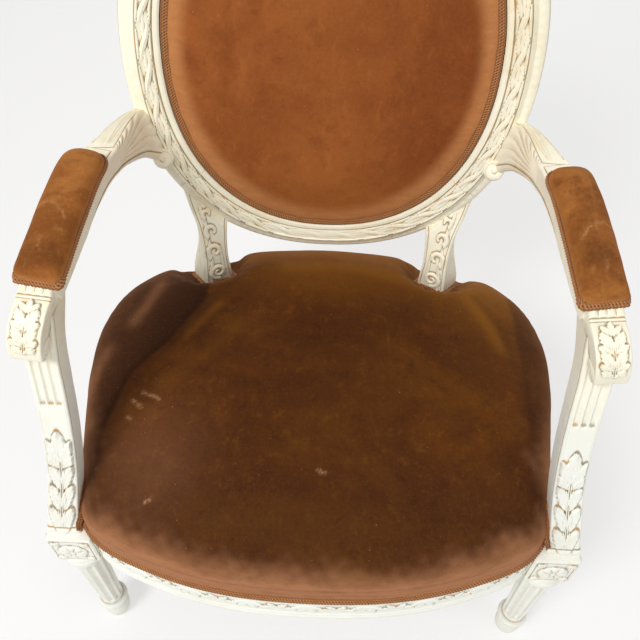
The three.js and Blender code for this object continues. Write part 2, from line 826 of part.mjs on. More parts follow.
function ovalGimp(low, high) {
  const rings = [];
  for (let i = 0; i < backSteps; i += 1) {
    const angle = (i / backSteps) * Math.PI * 2;
    const corners = rectangle(backEdge + clearance, low, -2 * clearance, high);
    rings.push(corners.map(([out, front]) => ovalPoint(angle, out, front)));
  }
  return skin(rings);
}

// Arms

const armCurve = new THREE.CatmullRomCurve3(armPathShares.map(([x, y, z]) => new THREE.Vector3(
  armRootX + x * (armHalfSpan - armRootX),
  y * armLength - armForward,
  armRootZ + z * armRise,
)));

// Spot, side, up and section size at a share of the arm's path
function armStation(share) {
  const spot = armCurve.getPoint(share);
  const tangent = armCurve.getTangent(share);
  const side = new THREE.Vector3().crossVectors(new THREE.Vector3(0, 0, 1), tangent).normalize();
  const up = new THREE.Vector3().crossVectors(tangent, side);
  const place = share * (armSectionShares.length - 1);
  const i = Math.min(Math.floor(place), armSectionShares.length - 2);
  const mix = place - i;
  const width = THREE.MathUtils.lerp(armSectionShares[i][0], armSectionShares[i + 1][0], mix) * armWidth;
  const height = THREE.MathUtils.lerp(armSectionShares[i][1], armSectionShares[i + 1][1], mix) * armThickness;
  return { spot, tangent, side, up, width, height };
}

function ringAt({ spot, side, up }, outline) {
  return outline.map(([u, v]) => spot.clone().addScaledVector(side, u).addScaledVector(up, v));
}

function armRail(grow) {
  const rings = [];
  for (let i = 0; i <= armSteps; i += 1) {
    const station = armStation(i / armSteps);
    const outline = chamfered(station.width + 2 * grow, station.height + 2 * grow, armChamferShare);
    rings.push(ringAt(station, outline));
  }
  return skin(rings, chamfered(armWidth, armThickness, armChamferShare));
}

// Grip in its own frame: X across, Y forwards, Z up from the end of the arm
function armGrip(grow) {
  const outline = outset(gripOutlineShares.map(([f, u]) => [f * gripReach, u * gripDrop]), grow);
  const shape = new THREE.Shape(outline.map(([f, u]) => new THREE.Vector2(f, u)));
  const width = gripWidth + 2 * grow;
  const side = new THREE.ExtrudeGeometry(shape, {
    depth: width, bevelEnabled: true, bevelSize: gripBevel, bevelThickness: gripBevel, bevelOffset: -gripBevel,
    bevelSegments: 1, steps: 1,
  });
  side.translate(0, 0, -width / 2);
  const boss = new THREE.CylinderGeometry(
    scrollBoss + grow, scrollBoss + grow, width + 2 * (gripBevel + bossProud), fluteCount,
  );
  boss.rotateX(Math.PI / 2);
  boss.translate(scrollCentreShares[0] * gripReach, scrollCentreShares[1] * gripDrop, 0);
  const end = armStation(1).spot;
  const forward = new THREE.Vector3(Math.sin(gripTurn), -Math.cos(gripTurn), 0);
  const across = new THREE.Vector3().crossVectors(forward, new THREE.Vector3(0, 0, 1));
  const up = new THREE.Vector3(0, 0, 1).addScaledVector(across, gripLeanShare);
  const place = new THREE.Matrix4().makeBasis(forward, up, across);
  place.setPosition(end);
  return move(join(toSolid(side), toSolid(boss)), place);
}

function armBody(grow) {
  return join(armRail(grow), armGrip(grow));
}

function arm() {
  return largest(cut(
    armBody(0),
    backFrameRing(0, 360, clearance, true),
    rod(dowelRadius + clearance, dowelLength + 2 * clearance, armDowelPlace),
  ));
}

// Pad on the top of the arm, rounded down at both ends
function armPad(grow) {
  const rings = [];
  const ends = padEndShares.length;
  for (let i = padFirstStep; i <= padLastStep; i += 1) {
    const station = armStation(i / armSteps);
    const inward = Math.min(i - padFirstStep, padLastStep - i);
    const scale = padEndShares[Math.min(inward, ends - 1)];
    const seat = station.height / 2 + clearance;
    const nudge = i === padFirstStep ? -grow : Number(i === padLastStep) * grow;
    const outline = padSectionShares.map(([u, v]) => [
      u * (padWidth * (1 - padTaperShare * (1 - scale)) + 2 * grow),
      seat + v * (padHeight * scale + 2 * grow) - grow,
    ]);
    station.spot.addScaledVector(station.tangent, nudge);
    rings.push(ringAt(station, outline));
  }
  return skin(rings, padSectionShares);
}

function armPadGimp() {
  const rings = [];
  const proud = clearance + gimpThickness;
  for (let i = padFirstStep; i <= padLastStep; i += 1) {
    const station = armStation(i / armSteps);
    const seat = station.height / 2 + clearance;
    const nudge = i === padFirstStep ? -proud : Number(i === padLastStep) * proud;
    const inward = Math.min(i - padFirstStep, padLastStep - i);
    const scale = padEndShares[Math.min(inward, padEndShares.length - 1)];
    const half = (padWidth * (1 - padTaperShare * (1 - scale))) / 2 + proud;
    station.spot.addScaledVector(station.tangent, nudge);
    rings.push(ringAt(station, rectangle(-half, seat, half, seat + padGimpHeight)));
  }
  const band = skin(rings, [[-1, 0], [1, 0], [1, 1], [-1, 1]]);
  return largest(cut(band, armPad(clearance)));
}

// Arm supports

function supportLevel([lean, sweep, up, width, depth], grow) {
  const x = supportBaseX - lean * supportLean;
  const y = supportBaseY + sweep * supportSweep;
  const z = railTop + clearance + up * supportHeight;
  const outline = chamfered(width * supportWidth + 2 * grow, depth * supportDepth + 2 * grow, supportChamferShare);
  return outline.map(([u, v]) => new THREE.Vector3(x + u, y + v, z));
}

function supportBody(grow) {
  const upright = skin(
    supportLevelShares.map((level) => supportLevel(level, grow)),
    chamfered(supportWidth, supportDepth, supportChamferShare),
  );
  const plinth = block(plinthWidth + 2 * grow, plinthWidth + 2 * grow, plinthHeight + grow);
  const height = railTop + clearance + (plinthHeight + grow) / 2;
  return join(upright, plinth.translate([supportBaseX, supportBaseY, height]));
}

// Stopped flutes down the front of the support
function supportFlute(side) {
  const levels = supportLevelShares.filter(([, , up]) => up > supportFluteFromShare && up < supportFluteToShare);
  const path = levels.map(([lean, sweep, up, , depth]) => new THREE.Vector3(
    supportBaseX - lean * supportLean + side * supportFluteSpacing,
    supportBaseY + sweep * supportSweep - (depth * supportDepth) / 2,
    railTop + clearance + up * supportHeight,
  ));
  const rings = path.map((spot) => {
    const ring = [];
    for (let i = 0; i < dowelSides; i += 1) {
      const angle = (i / dowelSides) * Math.PI * 2;
      ring.push(new THREE.Vector3(
        spot.x + Math.cos(angle) * supportFluteRadius,
        spot.y + Math.sin(angle) * supportFluteRadius,
        spot.z,
      ));
    }
    return ring;
  });
  return skin(rings, rings[0].map((p) => [p.x, p.y]));
}

function armSupport() {
  const flutes = [];
  for (let i = 0; i < supportFlutes; i += 1) flutes.push(supportFlute(i - (supportFlutes - 1) / 2));
  return largest(cut(join(supportBody(0), supportTenon(0)), armBody(clearance), ...flutes));
}

// Assembly

const chair = new THREE.Group();
const back = new THREE.Group();
back.applyMatrix4(backPlace);
chair.add(back);

function add(name, solid, finish, parent = chair) {
  const mesh = new THREE.Mesh(toGeometry(solid), new THREE.MeshStandardMaterial(finish));
  mesh.name = name;
  parent.add(mesh);
}

function addPair(name, solid, finish, parent = chair) {
  add(`right_${name}`, solid, finish, parent);
  add(`left_${name}`, mirrored(solid), finish, parent);
}

add('front_seat_rail', frontRail(), paint);
add('rear_seat_rail', rearRail(), paint);
addPair('side_seat_rail', sideRail(), paint);
addPair('front_leg', frontLeg(), paint);
addPair('rear_stile', rearStile(), paint);
addPair('front_brace', cornerBrace(frontHead(clearance), frontLegX, frontLegY), wood);
addPair('rear_brace', cornerBrace(stileHead(clearance), stileX, stileY), wood);

const joints = [sideJointAngle, 180 - sideJointAngle, 180 + sideJointAngle, -sideJointAngle];
const [upperRight, upperLeft, lowerLeft, lowerRight] = joints.map(jointDowelPlace);
const backInverse = backPlace.clone().invert();
const inBack = (place) => backInverse.clone().multiply(place);
const acrossPlace = (place) => new THREE.Matrix4().makeScale(-1, 1, 1).multiply(place);
const sideSegment = backFrameSegment(-sideJointAngle, sideJointAngle, [upperRight, lowerRight, inBack(armDowelPlace)]);
const stileHoles = [inBack(stileDowelPlace), acrossPlace(inBack(stileDowelPlace))];
add('back_crest', backFrameSegment(sideJointAngle, 180 - sideJointAngle, [upperRight, upperLeft]), paint, back);
add('back_lower_rail', backFrameSegment(
  180 + sideJointAngle,
  360 - sideJointAngle,
  [lowerLeft, lowerRight, ...stileHoles],
), paint, back);
addPair('back_side', sideSegment, paint, back);
addPair('crest_dowel', dowel(upperRight), wood, back);
addPair('side_dowel', dowel(lowerRight), wood, back);
addPair('stile_dowel', dowel(stileDowelPlace), wood);
addPair('arm_dowel', dowel(armDowelPlace), wood);

addPair('arm', arm(), paint);
addPair('arm_support', armSupport(), paint);
addPair('arm_pad', armPad(0), velvet);
addPair('arm_pad_gimp', armPadGimp(), braid);

add('seat_webbing', seatWebbing(), jute);
add('seat_hessian', seatHessian(), jute);
add('seat_stuffing', seatStuffing(), stuffing);
add('seat_cover', seatCover(), velvet);
const gimpFront = stepClearOf(supportBaseX, supportBaseY, supportStop, -1);
const gimpSide = stepClearOf(supportBaseX, supportBaseY, supportStop, 1);
const gimpStile = stepClearOf(stileX, stileY, stileStop, -1);
const gimpRear = stepClearOf(stileX, stileY, stileStop, 1);
add('seat_gimp_front', seatGimp(-gimpFront, gimpFront), braid);
addPair('seat_gimp_side', seatGimp(gimpSide, gimpStile), braid);
add('seat_gimp_rear', seatGimp(gimpRear, seatSteps - gimpRear), braid);

add('back_webbing', backWebbing(), jute, back);
add('back_stuffing', backStuffing(), stuffing, back);
add('back_cover', backCover(), velvet, back);
add('back_rear_panel', backRearPanel(), velvet, back);
add('back_gimp', ovalGimp(clearance - backRimDrop, clearance + gimpThickness - backRimDrop), braid, back);
const rearFace = rearRabbet - frameDepth - clearance - coverThickness - clearance;
add('back_rear_gimp', ovalGimp(rearFace - gimpThickness, rearFace), braid, back);

// Stands the chair with its origin at the middle of its footprint
const bounds = new THREE.Box3().setFromObject(chair);
chair.position.set(0, -(bounds.min.y + bounds.max.y) / 2, -bounds.min.z);

export default chair;
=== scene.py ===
import json
import math

import bpy
import numpy as np
from mathutils import Matrix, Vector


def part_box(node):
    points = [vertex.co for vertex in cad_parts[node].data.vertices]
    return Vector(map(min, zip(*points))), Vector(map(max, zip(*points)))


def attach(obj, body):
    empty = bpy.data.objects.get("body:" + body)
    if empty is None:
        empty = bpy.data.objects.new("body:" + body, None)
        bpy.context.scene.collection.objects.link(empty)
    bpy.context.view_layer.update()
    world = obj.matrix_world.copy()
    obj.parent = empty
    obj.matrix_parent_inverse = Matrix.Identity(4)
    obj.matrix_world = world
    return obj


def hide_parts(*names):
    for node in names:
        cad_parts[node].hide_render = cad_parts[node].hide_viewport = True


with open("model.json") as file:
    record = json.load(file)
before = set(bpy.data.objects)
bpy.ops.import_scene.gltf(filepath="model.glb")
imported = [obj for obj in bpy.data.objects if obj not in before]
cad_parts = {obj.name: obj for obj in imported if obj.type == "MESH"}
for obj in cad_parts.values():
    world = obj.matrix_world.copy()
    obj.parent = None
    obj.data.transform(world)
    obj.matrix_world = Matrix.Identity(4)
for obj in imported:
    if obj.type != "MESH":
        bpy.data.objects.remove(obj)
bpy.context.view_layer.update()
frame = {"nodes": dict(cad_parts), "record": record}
nodes = frame["nodes"]
scene = bpy.context.scene
scene.view_settings.view_transform = "Standard"
tau = 2 * math.pi

# sizes shared by many pieces; here and below lengths are in metres, measured about the middle of the seat frame
chair = {
    "seatHalfWidth": 0.314, "seatHalfDepth": 0.266, "railBottom": 0.250, "railTop": 0.312,
    "backHalfWidth": 0.206, "backHalfHeight": 0.250, "backSquare": 2.15, "backHollow": 0.030,
    "backRake": math.radians(12), "backCentre": (0.0, 0.288, 0.671),
    "frontLeg": (0.298, -0.178), "stile": (0.171, 0.219), "stileTurn": math.radians(32),
    "support": (0.305, -0.176),
}
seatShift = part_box("front_seat_rail")[0][1] + chair["seatHalfDepth"]
print("frame loaded, seat middle at y", round(seatShift, 4))


def unit(vectors):
    # vectors of length 1 with the same direction
    return vectors / np.maximum(np.linalg.norm(vectors, axis=-1, keepdims=True), 1e-9)


# camera

# fitted to the photo: focal length as a share of the picture's width, turns in degrees, place in metres
view = {
    "focal": 760 / 640, "pitch": 52.0, "yaw": -1.392, "roll": 1.171, "place": (0.0125, -0.5506, 1.210),
    "sensor": 36,
}


def makeCamera():
    # forward comes from yaw and pitch, then right and up are turned about it by the roll
    pitch, yaw, roll = (math.radians(view[k]) for k in ("pitch", "yaw", "roll"))
    forward = np.array([math.sin(yaw) * math.cos(pitch), math.cos(yaw) * math.cos(pitch), -math.sin(pitch)])
    right = unit(np.cross(forward, [0, 0, 1]))
    up = np.cross(right, forward)
    turnedRight = math.cos(roll) * right + math.sin(roll) * up
    turnedUp = math.cos(roll) * up - math.sin(roll) * right
    data = bpy.data.cameras.new("camera")
    data.sensor_width = view["sensor"]
    data.lens = view["sensor"] * view["focal"]
    data.clip_start = 0.05
    body = bpy.data.objects.new("camera", data)
    x, y, z = view["place"]
    body.matrix_world = Matrix([
        [turnedRight[0], turnedUp[0], -forward[0], x],
        [turnedRight[1], turnedUp[1], -forward[1], y + seatShift],
        [turnedRight[2], turnedUp[2], -forward[2], z],
        [0, 0, 0, 1],
    ])
    scene.collection.objects.link(body)
    scene.camera = body


makeCamera()
print("camera made")


# shader writing

class Value:
    # wraps a shader socket so that sums on it add math nodes
    def __init__(self, tree, socket):
        self.tree = tree
        self.socket = socket

    def math(self, operation, *others, clamp=False):
        node = self.tree.nodes.new("ShaderNodeMath")
        node.operation = operation
        node.use_clamp = clamp
        for i, item in enumerate((self,) + others):
            connect(self.tree, item, node.inputs[i])
        return Value(self.tree, node.outputs[0])

    def __add__(self, other):
        return self.math("ADD", other)

    __radd__ = __add__

    def __sub__(self, other):
        return self.math("SUBTRACT", other)

    def __rsub__(self, other):
        return self.math("MULTIPLY", -1.0).math("ADD", other)

    def __mul__(self, other):
        return self.math("MULTIPLY", other)

    __rmul__ = __mul__

    def clamped(self):
        return self.math("ADD", 0.0, clamp=True)

    def step(self, low, high):
        # 0 below low, 1 above high, smooth between them
        node = self.tree.nodes.new("ShaderNodeMapRange")
        node.interpolation_type = "SMOOTHSTEP"
        for name, item in (("Value", self), ("From Min", low), ("From Max", high)):
            connect(self.tree, item, node.inputs[name])
        return Value(self.tree, node.outputs[0])


def connect(tree, item, socket):
    if isinstance(item, Value):
        tree.links.new(item.socket, socket)
    elif item is not None:
        socket.default_value = item


def colour(code):
    # a written colour as the linear values that a shader takes
    parts = [int(code[i:i + 2], 16) / 255 for i in (0, 2, 4)]
    return tuple(c / 12.92 if c <= 0.04045 else ((c + 0.055) / 1.055) ** 2.4 for c in parts) + (1.0,)


class Finish:
    # a material with its shader and the calls that add nodes to it
    def __init__(self, name, **fixed):
        self.material = bpy.data.materials.new(name)
        self.material.use_nodes = True
        self.tree = self.material.node_tree
        self.shader = self.tree.nodes["Principled BSDF"]
        for socket, value in fixed.items():
            self.shader.inputs[socket.replace("_", " ")].default_value = value

    def node(self, kind, settings=None, inputs=None, output=0):
        made = self.tree.nodes.new(kind)
        for key, value in (settings or {}).items():
            setattr(made, key, value)
        for key, value in (inputs or {}).items():
            connect(self.tree, value, made.inputs[key])
        return Value(self.tree, made.outputs[output])

    def place(self, scale=(1, 1, 1), turn=(0, 0, 0)):
        spot = self.node("ShaderNodeTexCoord", output="Object")
        return self.node("ShaderNodeMapping", None, {"Vector": spot, "Scale": scale, "Rotation": turn})

    def parts(self, vector):
        # x, y and z of a vector
        made = self.node("ShaderNodeSeparateXYZ", None, {0: vector}).socket.node
        return (Value(self.tree, made.outputs[i]) for i in range(3))

    def mark(self, name):
        return self.node("ShaderNodeAttribute", {"attribute_name": name}, None, "Fac")

    def noise(self, vector, scale, detail=3.0, rough=0.55, warp=0.0):
        inputs = {"Vector": vector, "Scale": scale, "Detail": detail, "Roughness": rough, "Distortion": warp}
        return self.node("ShaderNodeTexNoise", None, inputs, "Fac")

    def mix(self, share, first, second):
        return self.node("ShaderNodeMix", {"data_type": "RGBA"}, {0: share, 6: first, 7: second}, 2)

    def set(self, **links):
        for name, item in links.items():
            connect(self.tree, item, self.shader.inputs[name.replace("_", " ")])

    def bump(self, height, strength, distance):
        normal = self.node("ShaderNodeBump", None, {"Strength": strength, "Distance": distance, "Height": height})
        connect(self.tree, normal, self.shader.inputs["Normal"])


paintLook = {
    "warm": "FFF9E2", "cool": "F4F6EE", "glaze": "F0D594", "line": "8F8768", "deep": "7C5A28", "bare": "B5822F",
    "streak": "FFFFFF", "rubbed": "FDF8E6", "crackle": 420.0,
}


def agedPaint():
    # warm cream towards the back, cooler low in front, with glaze and dirt in what the marks say is hollow
    f = Finish("agedPaint", IOR=1.46)
    spot = f.place()
    _, back, high = f.parts(spot)
    hollow = f.mark("hollow")
    proud = f.mark("proud")
    lowFront = (0.64 - high).step(0.0, 0.2) * (0.14 - back).step(0.0, 0.2)
    ground = f.mix(lowFront * 0.9, colour(paintLook["warm"]), colour(paintLook["cool"]))
    broad = f.noise(spot, 9.0, 4.0)
    patchy = f.noise(spot, 55.0, 5.0, 0.65)
    washed = (broad * 0.7 + patchy * 0.5 - 0.52).step(0.0, 0.34) * (1 - lowFront * 0.72)
    ground = f.mix(washed * 0.42, ground, colour(paintLook["glaze"]))
    streak = f.noise(f.place((40, 40, 300)), 3.0, 4.0, 0.7)
    ground = f.mix(streak.step(0.5, 0.75) * 0.16, ground, colour(paintLook["streak"]))
    lined = (hollow * (0.6 + patchy * 0.9)).step(0.1, 0.62)
    dirt = f.mix(f.noise(spot, 70.0, 3.0).step(0.42, 0.62), colour(paintLook["line"]), colour(paintLook["bare"]))
    tint = f.mix(lined * 0.85, ground, dirt)
    tint = f.mix((hollow * patchy).step(0.34, 0.62) * 0.75, tint, colour(paintLook["deep"]))
    rubbed = (proud * (0.3 + patchy * 1.2)).step(0.55, 1.0) * 0.5
    tint = f.mix(rubbed, tint, colour(paintLook["rubbed"]))
    cracks = f.node("ShaderNodeTexVoronoi", {"feature": "DISTANCE_TO_EDGE"}, {
        "Vector": spot, "Scale": paintLook["crackle"],
    })
    crack = (1 - cracks.step(0.0, 0.05)) * broad.step(0.5, 0.66)
    tint = f.mix(crack * 0.22, tint, colour(paintLook["line"]))
    specks = f.noise(spot, 900.0, 2.0).step(0.70, 0.76)
    tint = f.mix(specks * 0.35, tint, colour(paintLook["deep"]))
    f.set(Base_Color=tint, Roughness=(0.42 + patchy * 0.2 + hollow * 0.2).clamped())
    f.bump(patchy * 0.5 + f.noise(spot, 600.0) * 0.25 - crack * 0.4, 0.35, 0.0006)
    return f.material


# pile colours, the rim's colour, which stands for wear and a painted sheen on rounded edges, and the strength of the
# light and of the dark patches
velvetLook = {
    "velvetBack": {"tones": ("8E4D22", "AE672F", "6E3512", "C58552"), "light": 1.0, "dark": 0.5},
    "velvetSeat": {"tones": ("542A06", "80500F", "301503", "AA7450"), "light": 0.45, "dark": 0.5},
    "velvetPad": {"tones": ("965A26", "C08346", "552A0A", "C08048"), "light": 1.0, "dark": 0.8},
    "velvetRear": {"tones": ("854821", "A26232", "602F10", "B0713F"), "light": 1.0, "dark": 0.5},
}
pileLook = {"sheen": "DE9658", "scuff": "C9996B", "lint": "D8B48A"}


def velvet(name):
    # nap lies in strokes: broad patches of lighter and darker pile, fine grain, and marks that say where it is paler
    # or darker, where painted shade lies in creases and round the parts, where it is worn and where rounded edges
    # carry a painted sheen
    look = velvetLook[name]
    main, light, dark, rim = (colour(c) for c in look["tones"])
    sheen = colour(pileLook["sheen"])
    f = Finish(name, Sheen_Weight=0.14, Sheen_Roughness=0.4, Sheen_Tint=sheen, Specular_IOR_Level=0.16)
    spot = f.place()
    broad = f.noise(f.place((1, 1.4, 1), (0, 0, 0.5)), 6.5, 4.0, 0.6, 0.6)
    stroke = f.noise(f.place((26, 5, 14), (0, 0, 0.25)), 2.4, 5.0, 0.62, 0.8)
    fine = f.noise(spot, 260.0, 4.0, 0.7)
    pile = f.noise(spot, 1500.0, 2.0)
    patches = (broad.step(0.42, 0.66) * 0.5 + stroke.step(0.52, 0.72) * 0.3).clamped()
    tint = f.mix(patches * look["light"], main, light)
    tint = f.mix((0.52 - broad).step(0.0, 0.16) * 0.5 * look["dark"], tint, dark)
    mottled = f.noise(spot, 48.0, 5.0, 0.7)
    tint = f.mix((mottled - 0.54).step(0.0, 0.14) * 0.3, tint, light)
    tint = f.mix((0.47 - mottled).step(0.0, 0.14) * 0.35, tint, dark)
    tint = f.mix(f.mark("tone").step(0.0, 1.0), tint, light)
    # the shade mark darkens towards the dark pile: partly patches of the pile, partly painted shade in folds, pleats
    # and round the parts
    tint = f.mix(f.mark("shade"), tint, dark)
    worn = f.noise(f.place((9, 9, 30)), 4.0, 4.0, 0.6, 0.5)
    # the rim mark lightens towards the rim colour: worn pile, with a painted sheen where the velvet rounds over its
    # edges
    tint = f.mix((f.mark("rim") * (0.55 + worn * 0.9)).clamped(), tint, rim)
    tint = f.mix(f.mark("scuff") * fine.step(0.3, 0.7), tint, colour(pileLook["scuff"]))
    tint = f.mix((fine - 0.5).clamped() * 0.7, tint, light)
    tint = f.mix((0.5 - fine).clamped() * 0.9, tint, dark)
    tint = f.mix(f.noise(spot, 420.0, 1.0).step(0.79, 0.82) * 0.5, tint, colour(pileLook["lint"]))
    f.set(Base_Color=tint, Roughness=(0.72 + pile * 0.22).clamped())
    f.bump(fine * 0.5 + pile * 0.5 + stroke * 0.8, 0.35, 0.0007)
    return f.material


yarnLook = {"deep": "5A3012", "cord": "BF7F45", "glint": "DDA871", "faded": "8A5420"}


def braided():
    # copper and tan yarn: painted shade between the cords, the tan on their tops and a painted glint where the twist
    # rises, with the twist of each cord
    f = Finish("gimpBraid", Sheen_Weight=0.2, Sheen_Roughness=0.5)
    high = f.mark("cord")
    twist = f.noise(f.place(), 1400.0, 2.0)
    patch = f.noise(f.place(), 60.0, 3.0)
    # the deep colour is painted shade between the cords; the cord colour lies on their tops
    tint = f.mix(high.step(0.1, 0.9), colour(yarnLook["deep"]), colour(yarnLook["cord"]))
    # painted glint where the twist rises on the cords' tops
    tint = f.mix((high * twist).step(0.45, 0.7) * 0.7, tint, colour(yarnLook["glint"]))
    tint = f.mix(patch.step(0.45, 0.65) * 0.45, tint, colour(yarnLook["faded"]))
    f.set(Base_Color=tint, Roughness=(0.62 + twist * 0.3).clamped())
    f.bump(twist, 0.4, 0.0004)
    return f.material


woodLook = {"early": "B58A58", "late": "8C6238", "pore": "6B4727"}


def bareWood():
    # rings stretched along the grain, with fine pores
    f = Finish("bareBeech")
    grain = f.noise(f.place((60, 60, 6)), 3.0, 5.0, 0.65, 1.2)
    pores = f.noise(f.place((500, 500, 40)), 4.0, 2.0).step(0.62, 0.7)
    tint = f.mix(grain.step(0.3, 0.7), colour(woodLook["early"]), colour(woodLook["late"]))
    tint = f.mix(pores * 0.5, tint, colour(woodLook["pore"]))
    f.set(Base_Color=tint, Roughness=(0.55 + grain * 0.25).clamped())
    f.bump(grain - pores, 0.3, 0.0005)
    return f.material


# light and dark tone, and how close the threads lie
wovenLook = {
    "jute": ("B99A6B", "6E5534", 2600.0), "sacking": ("A98C62", "6A522F", 5200.0),
    "wadding": ("E4DAC2", "B3A686", 900.0),
}


def woven(name):
    # two crossed sets of threads, each a sine of the place across the cloth
    light, dark, threads = wovenLook[name]
    f = Finish(name, Sheen_Weight=0.15)
    spot = f.place()
    across, back, high = f.parts(spot)
    warp = (across * threads).math("SINE")
    weft = ((back + high) * threads).math("SINE")
    over = (warp * weft).step(-0.6, 0.6)
    slub = f.noise(f.place(), 120.0, 4.0, 0.7)
    tint = f.mix((over * 0.7 + slub * 0.5 - 0.2).clamped(), colour(dark), colour(light))
    f.set(Base_Color=tint, Roughness=(0.8 + slub * 0.15).clamped())
    f.bump(over + slub * 0.5, 0.5, 0.0008)
    return f.material


finishes = {
    "paint": agedPaint(),
    **{name: velvet(name) for name in velvetLook},
    "braid": braided(),
    "wood": bareWood(),
    **{name: woven(name) for name in wovenLook},
}
slotFinish = {
    "painted_wood": "paint", "plain_wood": "wood", "velvet": "velvetBack", "braid": "braid", "jute": "jute",
    "stuffing": "wadding",
}
slotOf = {part["node"]: part["material_slot"] for part in frame["record"]["subparts"]}
for nodeName, node in nodes.items():
    node.data.materials.clear()
    node.data.materials.append(finishes[slotFinish[slotOf[nodeName]]])
print("finishes made")


# surfaces from arrays

def makeMesh(name, points, groups, finish, marks):
    # points by rows of x, y, z about the seat's middle; each group is an array of faces with as many corners
    mesh = bpy.data.meshes.new(name)
    corners = np.concatenate([g.ravel() for g in groups]).astype(np.int32)
    sizes = np.concatenate([np.full(len(g), g.shape[1]) for g in groups])
    starts = np.concatenate([[0], np.cumsum(sizes)[:-1]]).astype(np.int32)
    placed = points + np.array([0.0, seatShift, 0.0])
    mesh.vertices.add(len(placed))
    mesh.vertices.foreach_set("co", placed.astype(np.float32).ravel())
    mesh.loops.add(len(corners))
    mesh.loops.foreach_set("vertex_index", corners)
    mesh.polygons.add(len(sizes))
    mesh.polygons.foreach_set("loop_start", starts)
    mesh.update(calc_edges=True)
    mesh.polygons.foreach_set("use_smooth", np.ones(len(sizes), dtype=bool))
    for key, values in marks.items():
        mesh.attributes.new(key, "FLOAT", "POINT").data.foreach_set("value", values.astype(np.float32).ravel())
    mesh.materials.append(finishes[finish])
    body = bpy.data.objects.new(name, mesh)
    scene.collection.objects.link(body)
    return body


def gridSurface(name, points, finish, marks=None, closed=False):
    # quads between neighbouring rows and columns, round the columns; rows that don't run round get their first
    # and last one closed on its middle
    rows, columns = points.shape[:2]
    index = np.arange(rows * columns).reshape(rows, columns)
    here = index if closed else index[:-1]
    below = np.roll(index, -1, 0) if closed else index[1:]
    quads = np.stack([here, np.roll(here, -1, 1), np.roll(below, -1, 1), below], -1).reshape(-1, 4)
    flat = points.reshape(-1, 3)
    kept = {key: value.reshape(-1) for key, value in (marks or {}).items()}
    fans = []
    for end in () if closed else (0, -1):
        edge = index[end]
        fan = np.stack([np.full(columns, len(flat)), np.roll(edge, -1), edge], -1)
        fans.append(fan[:, ::-1] if end else fan)
        flat = np.vstack([flat, points[end].mean(0)])
        kept = {key: np.append(value, value[edge].mean()) for key, value in kept.items()}
    groups = [quads] + fans
    # six times the volume that the faces enclose: below zero, they face inwards and are turned over
    volume = 0
    for triangles in [quads[:, :3], quads[:, [0, 2, 3]]] + fans:
        a, b, c = (flat[triangles[:, i]] for i in range(3))
        volume += np.einsum("ij,ij->i", a, np.cross(b, c)).sum()
    if volume < 0:
        groups = [g[:, ::-1] for g in groups]
    return makeMesh(name, flat, groups, finish, kept)


def roundSteps(values, axis=0):
    # half the way from the neighbour before to the one after, on a closed run
    return (np.roll(values, -1, axis) - np.roll(values, 1, axis)) / 2


def raised(points, height):
    # every point moves along the surface's normal, which points away from the middle of its row
    normal = unit(np.cross(roundSteps(points, 1), np.gradient(points, axis=0)))
    away = points - points.mean(1, keepdims=True)
    if (normal * away).sum() < 0:
        normal = -normal
    return points + normal * height[..., None]


def blurred(values, times, wrapColumns=True):
    # repeated means of each value with its neighbours
    for _ in range(times):
        for axis, wrap in ((0, False), (1, wrapColumns)):
            if wrap:
                values = (np.roll(values, 1, axis) + 2 * values + np.roll(values, -1, axis)) / 4
            else:
                padded = np.concatenate([values.take([0], axis), values, values.take([-1], axis)], axis)
                size = values.shape[axis]
                values = (padded.take(range(size), axis) + 2 * values + padded.take(range(2, size + 2), axis)) / 4
    return values


def carvedMarks(height, scale, times, floor=0.0):
    # hollow where the carving lies below its own mean round about, proud where it stands above it
    near = blurred(height, times)
    broad = blurred(near, times * 4)
    difference = (near - height) * 1.5 / scale
    hollow = np.clip(np.maximum(difference, (broad - height) * 0.75 / scale), 0, 1)
    return {"hollow": np.maximum(hollow, floor), "proud": np.clip(-difference, 0, 1)}


def finished(body, slotName, *replaced):
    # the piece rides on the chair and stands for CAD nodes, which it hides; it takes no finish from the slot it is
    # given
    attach(body, "root")
    if replaced:
        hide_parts(*replaced)
    return body


def smooth(x, low, high):
    t = np.clip((x - low) / (high - low), 0, 1)
    return t * t * (3 - 2 * t)


def bell(x, middle, width):
    return np.exp(-(((x - middle) / width) ** 2))


def halfRound(x):
    # height of a half circle of radius 1 over x, and 0 beyond it
    return np.sqrt(np.clip(1 - x ** 2, 0, 1))


def splineThrough(points, perSpan, closed=False):
    # a centripetal spline: knots are spaced by the square root of the distance between points
    p = np.asarray(points, float)
    if closed:
        p = np.vstack([p[-1], p, p[0], p[1]])
    else:
        p = np.vstack([2 * p[0] - p[1], p, 2 * p[-1] - p[-2]])
    p0, p1, p2, p3 = p[:-3], p[1:-2], p[2:-1], p[3:]
    d0, d1, d2 = (np.sqrt(np.linalg.norm(b - a, axis=1))[:, None] for a, b in ((p0, p1), (p1, p2), (p2, p3)))
    m1 = ((p1 - p0) / d0 - (p2 - p0) / (d0 + d1) + (p2 - p1) / d1) * d1
    m2 = ((p2 - p1) / d1 - (p3 - p1) / (d1 + d2) + (p3 - p2) / d2) * d1
    t = (np.arange(perSpan) / perSpan)[None, :, None]
    p1, p2, m1, m2 = (a[:, None, :] for a in (p1, p2, m1, m2))
    run = (2 * t ** 3 - 3 * t ** 2 + 1) * p1 + (t ** 3 - 2 * t ** 2 + t) * m1
    run = run + (3 * t ** 2 - 2 * t ** 3) * p2 + (t ** 3 - t ** 2) * m2
    run = run.reshape(-1, p.shape[1])
    return run if closed else np.vstack([run, points[-1]])


def lengthAlong(run, closed=False):
    ends = np.vstack([run, run[:1]]) if closed else run
    return np.concatenate([[0], np.cumsum(np.linalg.norm(np.diff(ends, axis=0), axis=1))])


